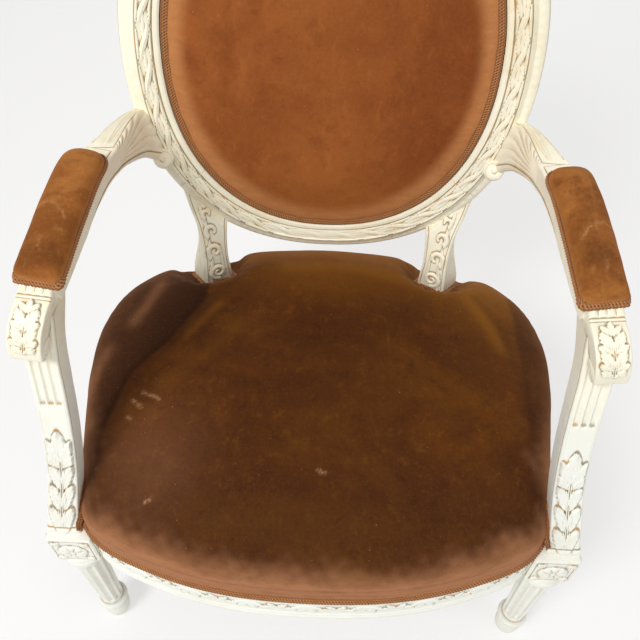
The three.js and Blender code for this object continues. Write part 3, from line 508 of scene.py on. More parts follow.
def evenly(run, count, closed=False):
    # places at equal distances along a run of points
    ends = np.vstack([run, run[:1]]) if closed else run
    reach = lengthAlong(run, closed)
    at = np.arange(count) / count * reach[-1] if closed else np.linspace(0, reach[-1], count)
    return np.stack([np.interp(at, reach, ends[:, i]) for i in range(run.shape[1])], -1)


# seat outline, the same spline as the frame's

seatOutline = [
    (0, -1), (0.335, -0.975), (0.6, -0.9), (0.835, -0.775), (0.917, -0.647), (0.933, -0.489), (0.965, -0.226),
    (1, 0.075), (0.997, 0.338), (0.924, 0.594), (0.748, 0.797), (0.478, 0.932), (0, 1),
]
seatPlan = np.array(seatOutline + [(-x, y) for x, y in seatOutline[1:-1][::-1]])
seatPlan = seatPlan * [chair["seatHalfWidth"], chair["seatHalfDepth"]]
seatRun = splineThrough(seatPlan, 60, True)


def seatRing(count, offset=0.0, low=0.0, high=1.0):
    # points at equal steps of the outline between two shares of it, moved outwards by offset
    base = evenly(seatRun, 2400, True)
    tangent = unit(roundSteps(base))
    base = base + np.stack([tangent[:, 1], -tangent[:, 0]], 1) * offset
    closed = high - low >= 1
    at = (low + (high - low) * np.arange(count) / (count if closed else count - 1)) % 1 * 2400
    return np.stack([np.interp(at, np.arange(2401), np.append(base[:, i], base[0, i])) for i in (0, 1)], -1)


def joined(first, *others):
    # several bodies made into one
    with bpy.context.temp_override(active_object=first, selected_editable_objects=[first, *others]):
        bpy.ops.object.join()
    return first


def pairName(side, name):
    # the frame's name of one of a pair
    return ("right_" if side > 0 else "left_") + name


def pairTitle(side, name):
    return ("right" if side > 0 else "left") + name


def flipped(points, side):
    # points made for the right side, as they are or taken over to the left
    return points if side > 0 else points * [-1, 1, 1]


def carvedPiece(side, name, points, marks):
    return gridSurface(pairTitle(side, name), flipped(points, side), "paint", marks)


def planned(x, y, z, across, forward, turn=0.0):
    # rows of places round an upright middle, which lie across and forwards of it and are turned in plan
    c, s = np.cos(turn), np.sin(turn)
    return np.stack([x + across * c - forward * s, y + across * s + forward * c, z + 0 * across], -1)


def sectionAt(section, wanted):
    # the two measures of a closed section at lengths along its outline
    ends = np.vstack([section, section[:1]])
    return (np.interp(wanted, lengthAlong(section, True), ends[:, i])[None, :] for i in (0, 1))


print("tools ready")


# upholstery

def readPoints(body):
    points = np.empty(len(body.data.vertices) * 3, dtype=np.float32)
    body.data.vertices.foreach_get("co", points)
    return points.reshape(-1, 3).astype(float) - [0, seatShift, 0]


def readNormals(body):
    normals = np.empty(len(body.data.vertices) * 3, dtype=np.float32)
    body.data.vertices.foreach_get("normal", normals)
    return normals.reshape(-1, 3).astype(float)


def writePoints(body, points):
    body.data.vertices.foreach_set("co", (points + [0, seatShift, 0]).astype(np.float32).ravel())
    body.data.update()


def mirrored(side, *bodies):
    # bodies made for the right go over to the left
    if side < 0:
        for body in bodies:
            writePoints(body, flipped(readPoints(body), side))
            body.data.flip_normals()


def settled(body):
    # the mesh with its modifiers worked in
    mesh = bpy.data.meshes.new_from_object(body.evaluated_get(bpy.context.evaluated_depsgraph_get()))
    body.modifiers.clear()
    body.data = mesh
    mesh.polygons.foreach_set("use_smooth", np.ones(len(mesh.polygons), dtype=bool))
    return body


def subdivided(body, kind="CATMULL_CLARK", levels=1):
    fine = body.modifiers.new("fine", "SUBSURF")
    fine.subdivision_type = kind
    fine.levels = fine.render_levels = levels
    return settled(body)


# the velvet as cloth: thin, easily bent, and blown out for a few frames
cloth = {"quality": 4, "mass": 0.25, "stiffness": 12, "bending": 0.6, "pressure": 4.0, "frames": 20}


def puffed(body, voxel, cap, held):
    # an even remesh, then cloth blown out by pressure with its lower edge held; no point moves farther than cap
    body.modifiers.new("even", "REMESH").voxel_size = voxel
    settled(body)
    rest = readPoints(body)
    group = body.vertex_groups.new(name="held")
    group.add(np.flatnonzero(held(rest)).tolist(), 1.0, "REPLACE")
    blower = body.modifiers.new("cloth", "CLOTH")
    blower.point_cache.frame_start, blower.point_cache.frame_end = 1, cloth["frames"]
    settings = blower.settings
    settings.quality = cloth["quality"]
    settings.mass = cloth["mass"]
    settings.tension_stiffness = settings.compression_stiffness = cloth["stiffness"]
    settings.bending_stiffness = cloth["bending"]
    settings.use_pressure = True
    settings.uniform_pressure_force = cloth["pressure"]
    settings.vertex_group_mass = "held"
    settings.effector_weights.gravity = 0
    for number in range(1, cloth["frames"] + 1):
        scene.frame_set(number)
    moved = readPoints(settled(body)) - rest
    reach = np.linalg.norm(moved, axis=1, keepdims=True)
    writePoints(body, rest + moved * np.minimum(1, cap / np.maximum(reach, 1e-9)))
    body.vertex_groups.clear()
    scene.frame_set(1)
    return subdivided(body)


def ripples(points, scale, seed):
    # a few sine waves in fixed directions, added up to between -1 and 1
    maker = np.random.default_rng(seed)
    total = np.zeros(len(points))
    for _ in range(7):
        way = maker.normal(size=3)
        way *= scale * maker.uniform(0.6, 1.6) / np.linalg.norm(way)
        total += np.sin(points @ way + maker.uniform(0, tau)) / 7
    return total


def grain(points, scale, seed, size):
    # the small unevenness of a brushed surface, on rows and columns of points
    return ripples(points.reshape(-1, 3), scale, seed).reshape(points.shape[:-1]) * size


def nearLine(points, start, end):
    # distance in plan from a straight stroke
    a, b = np.array(start), np.array(end)
    along = b - a
    t = np.clip(((points[:, :2] - a) @ along) / (along @ along), 0, 1)
    return np.linalg.norm(points[:, :2] - a - t[:, None] * along, axis=1)


def nearPath(points, path):
    # distance in plan from a run of strokes
    return np.min([nearLine(points, a, b) for a, b in zip(path[:-1], path[1:])], axis=0)


def strokesAt(points, strokes):
    # how strongly soft strokes mark each point
    return sum(strong * bell(nearLine(points, start, end), 0, wide) for start, end, wide, strong in strokes)


def wavering(points, size, scale, seed):
    # points moved about in plan, so that what is measured from them gets an uneven edge
    drift = [ripples(points, scale, seed), ripples(points, scale, seed + 1), np.zeros(len(points))]
    return points + size * np.column_stack(drift)


def setMarks(body, marks):
    for key, values in marks.items():
        made = body.data.attributes.new(key, "FLOAT", "POINT")
        made.data.foreach_set("value", np.clip(values, 0, 1).astype(np.float32))


seat = {
    "crown": 0.082, "rearShare": 0.32, "spread": 0.004, "sideHeight": 0.012, "hollow": 0.0085,
    "voxel": 0.006, "cap": 0.004, "ring": 200, "rowCount": 60,
    "pleats": 15, "pleatDepth": 0.0016, "stileDip": 0.031, "supportDip": 0.012,
    # share of the outline, share of the spread, share of the crown
    "rows": [
        (0.0, 0, 1), (0.38, 0, 0.975), (0.64, 0, 0.915), (0.83, 0, 0.835), (0.95, 0, 0.73), (1, -0.4, 0.61),
        (1, 0.6, 0.5), (1, 1, 0.38), (1, 0.8, 0.25), (1, 0.25, 0.13), (1, -0.3, 0.01),
    ],
    # ends of each mark in plan
    "scuffs": [
        ((-0.236, -0.047), (-0.222, -0.058)), ((-0.224, -0.036), (-0.200, -0.046)),
        ((-0.238, -0.070), (-0.233, -0.074)), ((0.004, -0.137), (0.012, -0.141)),
        ((-0.197, -0.182), (-0.190, -0.178)),
    ],
    # run in plan and depth
    "folds": [([(0.215, 0.15), (0.245, 0.09), (0.262, 0.01), (0.266, -0.12)], 0.0014),
              ([(-0.165, 0.13), (-0.195, 0.05), (-0.243, -0.005), (-0.264, -0.075), (-0.264, -0.15)], 0.0016),
              ([(-0.12, 0.12), (-0.15, 0.085), (-0.17, 0.05)], 0.0007)],
    "darkSide": [(-0.264, -0.17), (-0.264, -0.075), (-0.243, -0.005), (-0.197, 0.05), (-0.167, 0.12), (-0.16, 0.2)],
    # both ends in plan, width and strength
    "strokes": [
        ((-0.145, 0.115), (-0.18, 0.05), 0.008, 0.45), ((-0.12, 0.07), (-0.2, -0.03), 0.014, 0.3),
        ((0.2, 0.17), (0.24, 0.06), 0.012, 0.4), ((0.05, 0.205), (0.17, 0.165), 0.016, 0.35),
        ((-0.05, 0.2), (0.03, 0.21), 0.014, 0.3),
    ],
    "pale": [((-0.236, 0.15), (-0.258, 0.08), 0.011, 0.26), ((-0.288, 0.035), (-0.312, -0.04), 0.011, 0.24)],
}


def seatSurface():
    # rows run from the crown out and down to the rail, each a shrunken or widened copy of the seat's outline
    # the spacing is even in shares, where the crown counts for less than the outline
    wide, tall = chair["seatHalfWidth"], 0.3
    profile = evenly(splineThrough(np.array(seat["rows"]) * [1, seat["spread"] / wide, tall], 20), seat["rowCount"])
    share, spread, height = (profile / [1, 1 / wide, tall / (seat["crown"] * 0.985)]).T
    rings = []
    for s, o, h in zip(share[2:], spread[2:] - 0.0015, height[2:]):
        plan = seatRing(seat["ring"], o) * s
        behind = np.maximum(plan[:, 1] / chair["seatHalfDepth"], 0)
        lift = max(h - seat["sideHeight"], 0) * (1 - seat["rearShare"] * behind ** 2)
        rings.append(np.column_stack([plan, chair["railTop"] + min(h, seat["sideHeight"]) + lift]))
    # the underside turns in over the rail and rises clear of the webbing
    low = rings[-1][0, 2]
    for share, rise in ((0.985, 0), (0.96, 0), (0.95, seat["hollow"]), (0.5, seat["hollow"])):
        rings.append(np.column_stack([plan * share, np.full(seat["ring"], low + rise)]))
    return gridSurface("seatVelvet", np.array(rings), "velvetSeat")


def makeSeat():
    body = puffed(seatSurface(), seat["voxel"], seat["cap"], lambda p: p[:, 2] < chair["railTop"] + 0.011)
    points, normals = readPoints(body), readNormals(body)
    x, y, z = points.T
    move = ripples(points, 30, 3) * 0.0012 + ripples(points, 85, 4) * 0.0004
    drop = np.zeros(len(points))
    shade = np.zeros(len(points))
    for side in (-1, 1):
        sx, sy = chair["stile"]
        dx, dy = x - side * sx, y - sy
        far = np.hypot(dx, dy)
        # the velvet is drawn down round the stile, in pleats, and a little round the arm support; the pleats'
        # hollows and rings round the feet of the stile and the support get painted shade
        sunk = np.minimum(seat["stileDip"], np.maximum(z - chair["railTop"] - seat["sideHeight"], 0))
        drop += sunk * np.exp(-((np.maximum(far - 0.031, 0) / 0.021) ** 2))
        pleats = np.cos(seat["pleats"] * np.arctan2(dy, dx) + side) * bell(far, 0.047, 0.012)
        move += seat["pleatDepth"] * pleats * (z > chair["railTop"] + 0.02)
        # painted shade in the hollows of the pleats and in a ring round the stile's foot
        shade += 0.5 * np.clip(-pleats, 0, 1) + 0.5 * bell(far, 0.032, 0.014)
        px, py = chair["support"]
        near = np.hypot(x - side * px, y - py)
        beside = np.exp(-((np.maximum(near - 0.02, 0) / 0.02) ** 2))
        drop += seat["supportDip"] * beside * (z > chair["railTop"] + 0.02)
        # painted shade in a ring round the support's foot
        shade += 0.5 * bell(near, 0.028, 0.016)
    # two pressed folds run from the back corners down the sides, with painted shade along them
    bent = wavering(points, 0.004, 40, 9)
    for path, depth in seat["folds"]:
        gap = nearPath(bent, path)
        fold = np.exp(-((gap / 0.006) ** 2)) * (z > chair["railTop"] + 0.03)
        move -= depth * fold
        # painted shade along the fold
        shade += 0.4 * np.exp(-((gap / 0.008) ** 2))
    points = points + normals * move[:, None]
    points[:, 2] -= drop * (z > chair["railTop"] + 0.012)
    writePoints(body, points)
    # pile: pale at the back and the right, brushed in strokes, and dark in the middle and low down; the shade mark
    # also carries the painted shade of the pleats, the folds and the feet
    wander = wavering(points, 0.006, 35, 14)
    tone = 0.72 * smooth(y, 0.06, 0.22) * (0.8 + 0.4 * ripples(points, 22, 8)) * smooth(x + 0.35, 0, 0.3)
    tone += 0.22 * smooth(x, 0.1, 0.22) * smooth(y, -0.12, 0.1) + 0.12 * smooth(ripples(points, 28, 16), 0.1, 0.8)
    tone += strokesAt(wander, seat["strokes"])
    middle = np.exp(-(((x + 0.01) / 0.17) ** 2) - (y / 0.14) ** 2)
    # the left side beyond its fold lies dark, with two paler strokes; the right one only at its edge
    places = np.array(seat["darkSide"])
    edge = np.interp(y, places[:, 1], places[:, 0])
    beyond = smooth(edge - wander[:, 0], -0.003, 0.005) * smooth(y, -0.19, -0.13)
    sides = 0.85 * beyond + smooth(x, 0.262, 0.272) * smooth(y, -0.17, -0.1) * 0.6
    tone *= 1 - 0.8 * beyond
    # the rim, worn pile with a painted sheen where the velvet rounds over the rail, in two soft steps with a ragged
    # upper edge, strongest in front
    ragged = 0.006 * ripples(points, 70, 6) + 0.003 * ripples(points, 330, 7)
    below = chair["railTop"] + 0.064 - z + ragged
    low = 0.45 * smooth(below, 0.0, 0.016) + 0.55 * smooth(below, 0.012, 0.036)
    # a narrow band low in the rim stays darker, as painted shade in a crease
    rim = 1.3 * low * (0.25 + 0.75 * smooth(-y, -0.02, 0.16)) * (1 - 0.4 * bell(z, chair["railTop"] + 0.031, 0.003))
    rim += 0.2 * np.exp(-(((x + 0.2) / 0.06) ** 2) - ((y + 0.13) / 0.07) ** 2) * (1 - beyond)
    rim += strokesAt(wander, seat["pale"])
    scuff = strokesAt(points, [(a, b, 0.002, 0.8) for a, b in seat["scuffs"]])
    # the shade mark joins the pile's dark patches with the painted shade of the pleats, the folds and the feet
    setMarks(body, {
        "tone": tone, "shade": 0.3 * middle + sides + shade * 0.8 + 0.4 * smooth(-y, 0.08, 0.2), "rim": rim,
        "scuff": scuff * (z > chair["railTop"] + 0.04),
    })
    return finished(body, "velvet", "seat_cover", "seat_stuffing")


seatBody = makeSeat()
seatSkin = readPoints(seatBody)[readNormals(seatBody)[:, 2] > 0.1][::3]


def onVelvet(x, y):
    # height of the seat's cover at places in plan, as a mean weighted by nearness
    away = (x[:, None] - seatSkin[None, :, 0]) ** 2 + (y[:, None] - seatSkin[None, :, 1]) ** 2
    near = np.exp(-(away / 0.0035 ** 2)) + 1e-12
    return (near * seatSkin[None, :, 2]).sum(1) / near.sum(1)


print("seat made")


# oval back: across, up the rake, and forwards from the hollow face

def backSpot(across, up, front):
    # the hollow is a parabola across; front is measured square to it; then the whole leans back
    slope = -2 * chair["backHollow"] * across / chair["backHalfWidth"] ** 2
    reach = np.hypot(1, slope)
    x = across + front * slope / reach
    y = -chair["backHollow"] * (across / chair["backHalfWidth"]) ** 2 - front / reach
    c, s = math.cos(chair["backRake"]), math.sin(chair["backRake"])
    _, cy, cz = chair["backCentre"]
    return np.stack([x, y * c + up * s + cy, up * c - y * s + cz], -1)


def backLocal(points):
    # the other way round: across, up the rake and forwards of the hollow
    c, s = math.cos(chair["backRake"]), math.sin(chair["backRake"])
    _, cy, cz = chair["backCentre"]
    x, y, z = points[..., 0], points[..., 1] - cy, points[..., 2] - cz
    return x, y * s + z * c, z * s - y * c - chair["backHollow"] * (x / chair["backHalfWidth"]) ** 2


def ovalAt(angle, out):
    c, s = np.cos(angle), np.sin(angle)
    power = 2 / chair["backSquare"]
    return ((chair["backHalfWidth"] + out) * np.sign(c) * np.abs(c) ** power,
            (chair["backHalfHeight"] + out) * np.sign(s) * np.abs(s) ** power)


def ovalAngles(count, start=0.0, end=360.0):
    # angles at equal distances round the frame's middle line, between two angles in degrees
    dense = np.linspace(math.radians(start), math.radians(end), 12000)
    run = np.stack(ovalAt(dense, 0.019), -1)
    reach = lengthAlong(run)
    closed = end - start >= 360
    at = np.arange(count) / count * reach[-1] if closed else np.linspace(0, reach[-1], count)
    return np.interp(at, reach, dense)


backPad = {
    "crown": 0.024, "edge": -0.0045, "rim": -0.0035, "voxel": 0.006, "cap": 0.004,
    # shares of the oval and of the crown
    "rows": [(0, 1), (0.36, 0.97), (0.62, 0.87), (0.82, 0.66), (0.94, 0.36), (1, 0.02), (1, -0.2)],
}


def makeBackPad():
    # rows are shrunken ovals that rise from the braid to the crown; the rear follows the webbing
    profile = evenly(splineThrough(np.array(backPad["rows"]) * [1, 0.12], 20), 46)
    share, rise = profile[2:, 0], profile[2:, 1] / 0.12 * backPad["crown"] * 0.96 + backPad["rim"]
    share = np.concatenate([share, [0.97, 0.75, 0.5, 0.25]])
    rise = np.concatenate([rise, np.full(4, -0.0068)])
    angle = ovalAngles(220)
    across, up = ovalAt(angle[None, :], backPad["edge"] - 0.0004)
    points = backSpot(across * share[:, None], up * share[:, None], rise[:, None] + 0 * across)
    body = gridSurface("backVelvet", points, "velvetBack")
    puffed(body, backPad["voxel"], backPad["cap"], lambda p: backLocal(p)[2] < 0.001)
    points, normals = readPoints(body), readNormals(body)
    x, up, front = backLocal(points)
    out = np.hypot(x / (chair["backHalfWidth"] - 0.0106), up / (chair["backHalfHeight"] - 0.0106))
    face = smooth(front, -0.004, 0.002)
    move = (ripples(points, 26, 11) * 0.001 + ripples(points, 95, 12) * 0.00035) * face
    writePoints(body, points + normals * move[:, None])
    tone = 0.5 * smooth(-up, 0.1, 0.19) * bell(x, 0.0, 0.12) + 0.3 * smooth(ripples(points, 20, 13), 0, 0.8)
    shade = 0.3 * smooth(out, 0.55, 0.9) * (1 - smooth(out, 0.9, 0.97)) * smooth(x, 0.0, 0.2)
    shade += 0.35 * bell(up, 0.03, 0.1) * bell(x, 0.05, 0.13)
    # the rim mark gives the border a painted sheen where the velvet rounds down to the braid
    setMarks(body, {"tone": tone, "shade": shade, "rim": smooth(out, 0.87, 0.98) * 0.8})
    return finished(body, "velvet", "back_cover", "back_stuffing")


def makeRearPanel():
    # a tight cover over the back of the oval, barely crowned
    angle = ovalAngles(160)
    share = np.concatenate([[0.02, 0.2, 0.4, 0.6, 0.8], np.linspace(0.86, 1.0, 8), [1.0, 0.9, 0.5]])
    base = -0.0243
    crown = np.interp(share[:12], [0, 0.6, 0.9, 1.0], [0.0094, 0.0085, 0.0058, 0.0027])
    rise = np.concatenate([crown, [0.0021, 0.0002, 0.0, 0.0]])
    across, up = ovalAt(angle[None, :], -0.0012)
    points = backSpot(across * share[:, None], up * share[:, None], base - rise[:, None] + 0 * across)
    body = gridSurface("rearVelvet", points, "velvetRear")
    subdivided(body)
    points, normals = readPoints(body), readNormals(body)
    writePoints(body, points + normals * (ripples(points, 30, 21) * 0.0007)[:, None])
    x, up = points[:, 0], (points[:, 2] - chair["backCentre"][2]) / math.cos(chair["backRake"])
    out = np.hypot(x / chair["backHalfWidth"], up / chair["backHalfHeight"])
    # the rim mark gives the border a painted sheen where the cover rounds over the frame
    setMarks(body, {"rim": smooth(out, 0.86, 0.99) * 0.7, "tone": 0.3 * smooth(ripples(points, 18, 22), 0, 0.9)})
    return finished(body, "velvet", "back_rear_panel")


makeBackPad()
makeRearPanel()
print("back upholstery made")


# arms: spots along the path, their side, up and section sizes

armShape = {
    # shares across, forwards and up
    "path": [(0, 1, 0), (0.202, 0.881, 0.424), (0.461, 0.692, 0.818), (0.68, 0.517, 1), (0.798, 0.285, 0.97),
             (0.882, 0.081, 0.864), (1, 0, 0.758)],
    # shares of the width and the thickness, evenly along the path
    "section": [(0.76, 2.6), (0.71, 2), (0.76, 1.3), (0.96, 1), (1, 0.96), (0.84, 0.96), (0.78, 0.96)],
    "rootX": 0.2309, "halfSpan": 0.281, "length": 0.344, "forward": 0.098, "rootZ": 0.574, "rise": 0.066,
    "width": 0.045, "thickness": 0.025, "round": 0.0042,
    "carvedTo": 0.862, "rowCount": 228, "columnCounts": (44, 56, 14, 10),
}


def armStations(shares):
    # for shares of the path: the spot, the directions to the side and up, and the section's width and height
    path = np.array(armShape["path"])
    knots = np.column_stack([
        armShape["rootX"] + path[:, 0] * (armShape["halfSpan"] - armShape["rootX"]),
        path[:, 1] * armShape["length"] - armShape["forward"],
        armShape["rootZ"] + path[:, 2] * armShape["rise"],
    ])
    run = splineThrough(knots, 80)
    at = shares * (len(run) - 1)
    spot = np.stack([np.interp(at, np.arange(len(run)), run[:, i]) for i in range(3)], -1)
    slope = np.gradient(run, axis=0)
    ahead = np.stack([np.interp(at, np.arange(len(run)), slope[:, i]) for i in range(3)], -1)
    ahead = unit(ahead)
    side = unit(np.cross([0, 0, 1], ahead))
    up = np.cross(ahead, side)
    sizes = np.array(armShape["section"])
    knot = np.linspace(0, 1, len(sizes))
    width = np.interp(shares, knot, sizes[:, 0]) * armShape["width"]
    height = np.interp(shares, knot, sizes[:, 1]) * armShape["thickness"]
    return spot, side, up, width, height


pad = {
    "start": 0.447, "end": 0.852, "width": 0.0485, "height": 0.0225, "frontRound": 0.008, "rearRound": 0.025,
    "voxel": 0.0032, "cap": 0.003,
    "crease": [(0.258, -0.013), (0.264, -0.003), (0.272, 0.005), (0.281, 0.008), (0.29, 0.006)],
    "fold": [(0.272, -0.056), (0.276, -0.050), (0.277, -0.043), (0.276, -0.038)],
    # shares of the width and of the height
    "section": [
        (-0.47, 0.02), (0.47, 0.02), (0.5, 0.3), (0.47, 0.6), (0.37, 0.85), (0.19, 0.97), (0, 1), (-0.19, 0.97),
        (-0.37, 0.85), (-0.47, 0.6), (-0.5, 0.3),
    ],
}


def padEnds(reach):
    # how far the pad's width and height have grown at each length along it
    rear = np.clip(1 - (1 - np.clip(reach / pad["rearRound"], 0, 1)) ** 2, 0, 1) ** 0.5
    front = np.clip(1 - (1 - np.clip((reach[-1] - reach) / pad["frontRound"], 0, 1)) ** 2, 0, 1) ** 0.5
    return (0.42 + 0.58 * rear) * (0.86 + 0.14 * front), (0.35 + 0.65 * rear ** 1.5) * (0.45 + 0.55 * front)


def padShares(count, past=0.0):
    # shares of the arm's path under the pad and a little past it, closer together near both ends
    low, high = pad["start"] - past, pad["end"] + past
    return low + (high - low) * (1 - np.cos(np.linspace(0, math.pi, count))) / 2


def makePad(side):
    # a crowned section carried along the arm, drawn in and rounded down at both ends
    shares = padShares(80)
    spot, across, up, _, height = armStations(shares)
    wide, tall = padEnds(lengthAlong(spot))
    section = evenly(splineThrough(np.array(pad["section"]), 8, True), 56, True)
    low = height / 2 + 0.0006
    u = section[None, :, 0] * (pad["width"] * wide)[:, None]
    v = low[:, None] + section[None, :, 1] * (pad["height"] * tall)[:, None]
    points = spot[:, None] + across[:, None] * u[..., None] + up[:, None] * v[..., None]
    body = gridSurface(pairTitle(side, "ArmVelvet"), flipped(points, side), "velvetPad")
    base = flipped(spot, side)

    def aboveArm(p):
        # height of each point over the nearest stretch of the arm's top
        near = np.abs(p[:, None, 1] - base[None, :, 1]).argmin(1)
        return p[:, 2] - base[near, 2] - low[near]

    puffed(body, pad["voxel"], pad["cap"], lambda p: aboveArm(p) < 0.005)
    points, normals = readPoints(body), readNormals(body)
    move = ripples(points, 80, 31 + side) * 0.0008 + ripples(points, 240, 41 + side) * 0.0003
    first = nearPath(points, [(side * x, y) for x, y in pad["crease"]])
    second = nearPath(points, [(side * x, y) for x, y in pad["fold"]])
    crease = np.exp(-((first / 0.0016) ** 2)) + 0.7 * np.exp(-((second / 0.0013) ** 2))
    move -= 0.0008 * crease
    writePoints(body, points + normals * move[:, None])
    high = aboveArm(points)
    patches = smooth(ripples(points, 75, 33), -0.1, 0.5) * smooth(high, 0.015, 0.022)
    # the rim mark lightens the low sides as a painted sheen where the velvet rounds down; the shade mark darkens the
    # patches on top and, as painted shade, the foot next to the arm
    setMarks(body, {
        "rim": 0.8 * smooth(0.016 - high, 0, 0.012),
        "shade": 0.75 * patches + 0.2 * (high < 0.008),
        "scuff": 0.45 * crease * smooth(high, 0.012, 0.02),
        "tone": 0.35 * smooth(ripples(points, 60, 36), 0.1, 0.7),
    })
    return finished(body, "velvet", pairName(side, "arm_pad"))


for side in (1, -1):
    makePad(side)
print("arm pads made")


# arm supports: sizes, which the braid beside their feet needs too

support = {
    "base": (0.305, -0.176, 0.3123), "lean": 0.024, "sweep": 0.110, "height": 0.310, "width": 0.035, "depth": 0.036,
    # shares of the lean, the sweep, the height, the width and the depth
    "levels": [
        (0, 0, 0, 1.08, 1.06), (0.16, 0.1, 0.106, 1.08, 0.97), (0.48, 0.3, 0.284, 1.02, 0.92),
        (0.64, 0.473, 0.461, 1, 0.89), (0.72, 0.618, 0.639, 1, 0.89), (0.76, 0.764, 0.8, 1, 1.03),
        (0.88, 0.909, 0.913, 1, 1.39), (1, 1, 1, 1, 1.72),
    ],
    "plinth": 0.021, "plinthTop": 0.0072, "relief": 0.0046,
    "fluteDepth": 0.0030, "fluteRadius": 0.0034, "fluteFoot": 0.188, "flutes": (-0.009, 0, 0.009),
    "round": 0.0028, "rowCount": 285, "columnCounts": (64, 30, 14, 5),
    # each leaf: its root across and up, turn in degrees, length, width and bend
    "leaves": [
        (0.0, 0.088, 90, 0.052, 0.019, 0.0), (0.001, 0.086, 76, 0.043, 0.015, -0.5),
        (0.002, 0.086, 56, 0.026, 0.014, -0.5), (0.0015, 0.056, 79, 0.036, 0.0155, -0.6),
        (0.001, 0.060, 84, 0.026, 0.007, -0.2), (0.0015, 0.024, 80, 0.040, 0.0165, -0.6),
        (0.001, 0.024, 85, 0.030, 0.007, -0.2), (0.0015, -0.010, 80, 0.042, 0.0165, -0.55),
        (0.001, -0.004, 85, 0.030, 0.007, -0.1),
    ],
}


# braid: two cords that cross between looped edges

braid = {"width": 0.0098, "narrow": 0.0078, "thick": 0.0024, "period": 0.0072, "step": 0.0009}


def braidBody(name, run, outward, closed=False, width=None):
    # rows follow the run; columns go over the braid and back under it; across is square to both
    width = np.full(len(run), braid["width"]) if width is None else width * np.ones(len(run))
    total = lengthAlong(run, closed)[-1]
    count = int(total / braid["step"])
    both = evenly(np.hstack([run, outward * 1e-3, width[:, None] * 1e-3]), count, closed)
    spot, out, width = both[:, :3], both[:, 3:6], both[:, 6:] * 1e3
    out = unit(out)
    ahead = roundSteps(spot) if closed else np.gradient(spot, axis=0)
    across = unit(np.cross(unit(ahead), out))
    s = np.arange(count)[:, None] / count * total
    cycles = max(round(total / braid["period"]), 1)
    turn = s * tau * cycles / total
    w = np.linspace(-1, 1, 13)[None, :]
    swing = 0.5 * np.sin(turn)
    first = bell(w, swing, 0.3) * (0.82 + 0.18 * np.cos(turn))
    second = bell(w, -swing, 0.3) * (0.82 - 0.18 * np.cos(turn))
    loops = bell(np.abs(w), 0.84, 0.2) * (0.45 + 0.45 * np.cos(2 * turn))
    cord = np.maximum(np.maximum(first, second), loops)
    lift = braid["thick"] * (0.3 + 0.7 * cord)
    reach = w * width / 2 * (1 + 0.05 * np.cos(2 * turn))
    top = spot[:, None] + across[:, None] * reach[..., None] + out[:, None] * lift[..., None]
    base = spot[:, None] + across[:, None] * (width * [[0.5, -0.5]])[..., None]
    points = np.concatenate([top, base], 1)
    marks = {"cord": np.concatenate([cord, np.zeros((count, 2))], 1)}
    return gridSurface(name, points, "braid", marks, closed)


# stretches of the seat's outline in 48ths of it, from the middle of the front towards the right
stretches = {
    "frontBraid": (-7.45, 7.45), "rightBraid": (8.35, 18.8), "leftBraid": (29.2, 39.65), "rearBraid": (20.3, 27.7),
    "frontRail": (-7.6, 7.6), "rightRail": (8.1, 19.0), "leftRail": (29.0, 39.9), "rearRail": (20.3, 27.7),
}


def stretch(name):
    low, high = stretches[name]
    return low / 48, high / 48


def seatBraid(name, node, *extra):
    # along the foot of the velvet, facing outwards and up
    plan = seatRing(500, -0.0012, *stretch(name))
    ahead = np.gradient(plan, axis=0)
    out = np.column_stack([ahead[:, 1], -ahead[:, 0], np.linalg.norm(ahead, axis=1) * 0.75])
    run = np.column_stack([plan, np.full(500, chair["railTop"] + 0.0030)])
    body = braidBody(name.replace("Braid", "SeatBraid"), run, unit(out), width=braid["narrow"])
    return finished(joined(body, *extra), "braid", node)


def stileTrim(side):
    # braid laid on the velvet round the front and both sides of the stile
    a, b, turn = 0.0245, 0.0262, -chair["stileTurn"]
    corners = [(a, 0.018), (a, -b + 0.004), (a - 0.004, -b), (-a + 0.004, -b), (-a, -b + 0.004), (-a, 0.018)]
    local = evenly(np.array(corners), 160)
    local += 0.0006 * np.column_stack([np.sin(np.arange(160) * 0.5), np.cos(np.arange(160) * 0.37)])
    x = chair["stile"][0] + local[:, 0] * math.cos(turn) - local[:, 1] * math.sin(turn)
    y = chair["stile"][1] + local[:, 0] * math.sin(turn) + local[:, 1] * math.cos(turn)
    high = onVelvet(side * x, y) + 0.0016
    run = np.column_stack([x, y, blurred(high[:, None], 12, False)[:, 0]])
    away = np.column_stack([x - chair["stile"][0], y - chair["stile"][1]])
    out = np.column_stack([unit(away) * 0.55, np.ones(160)])
    return braidBody("trim", flipped(run, side), flipped(out, side), width=0.0076)


def supportTrim(side):
    # braid that climbs the velvet beside the foot of the arm support
    y = np.linspace(-0.2, -0.148, 90)
    x = np.full(90, support["base"][0] - support["plinth"] - 0.0034) - 0.0008 * np.sin(y * 400)
    run = np.column_stack([x, y, blurred((onVelvet(side * x, y) + 0.0014)[:, None], 10, False)[:, 0]])
    out = np.tile([-0.75, -0.25, 0.6], (90, 1))
    return braidBody("trim", flipped(run, side), flipped(out, side), width=braid["narrow"])


seatBraid("frontBraid", "seat_gimp_front")
seatBraid("rightBraid", "right_seat_gimp_side", stileTrim(1), supportTrim(1))
seatBraid("leftBraid", "left_seat_gimp_side", stileTrim(-1), supportTrim(-1))
seatBraid("rearBraid", "seat_gimp_rear")


def ovalBraid(name, front, node, facing=1):
    # round the oval just inside the frame, facing forwards or backwards
    angle = ovalAngles(780)
    run = backSpot(*ovalAt(angle, -0.0055), front + 0 * angle)
    out = backSpot(*ovalAt(angle, -0.0055), front + 0.01 * facing + 0 * angle) - run
    return finished(braidBody(name, run, unit(out), True), "braid", node)


ovalBraid("backBraid", -0.0015, "back_gimp")
ovalBraid("rearBraid", -0.0269, "back_rear_gimp", -1)


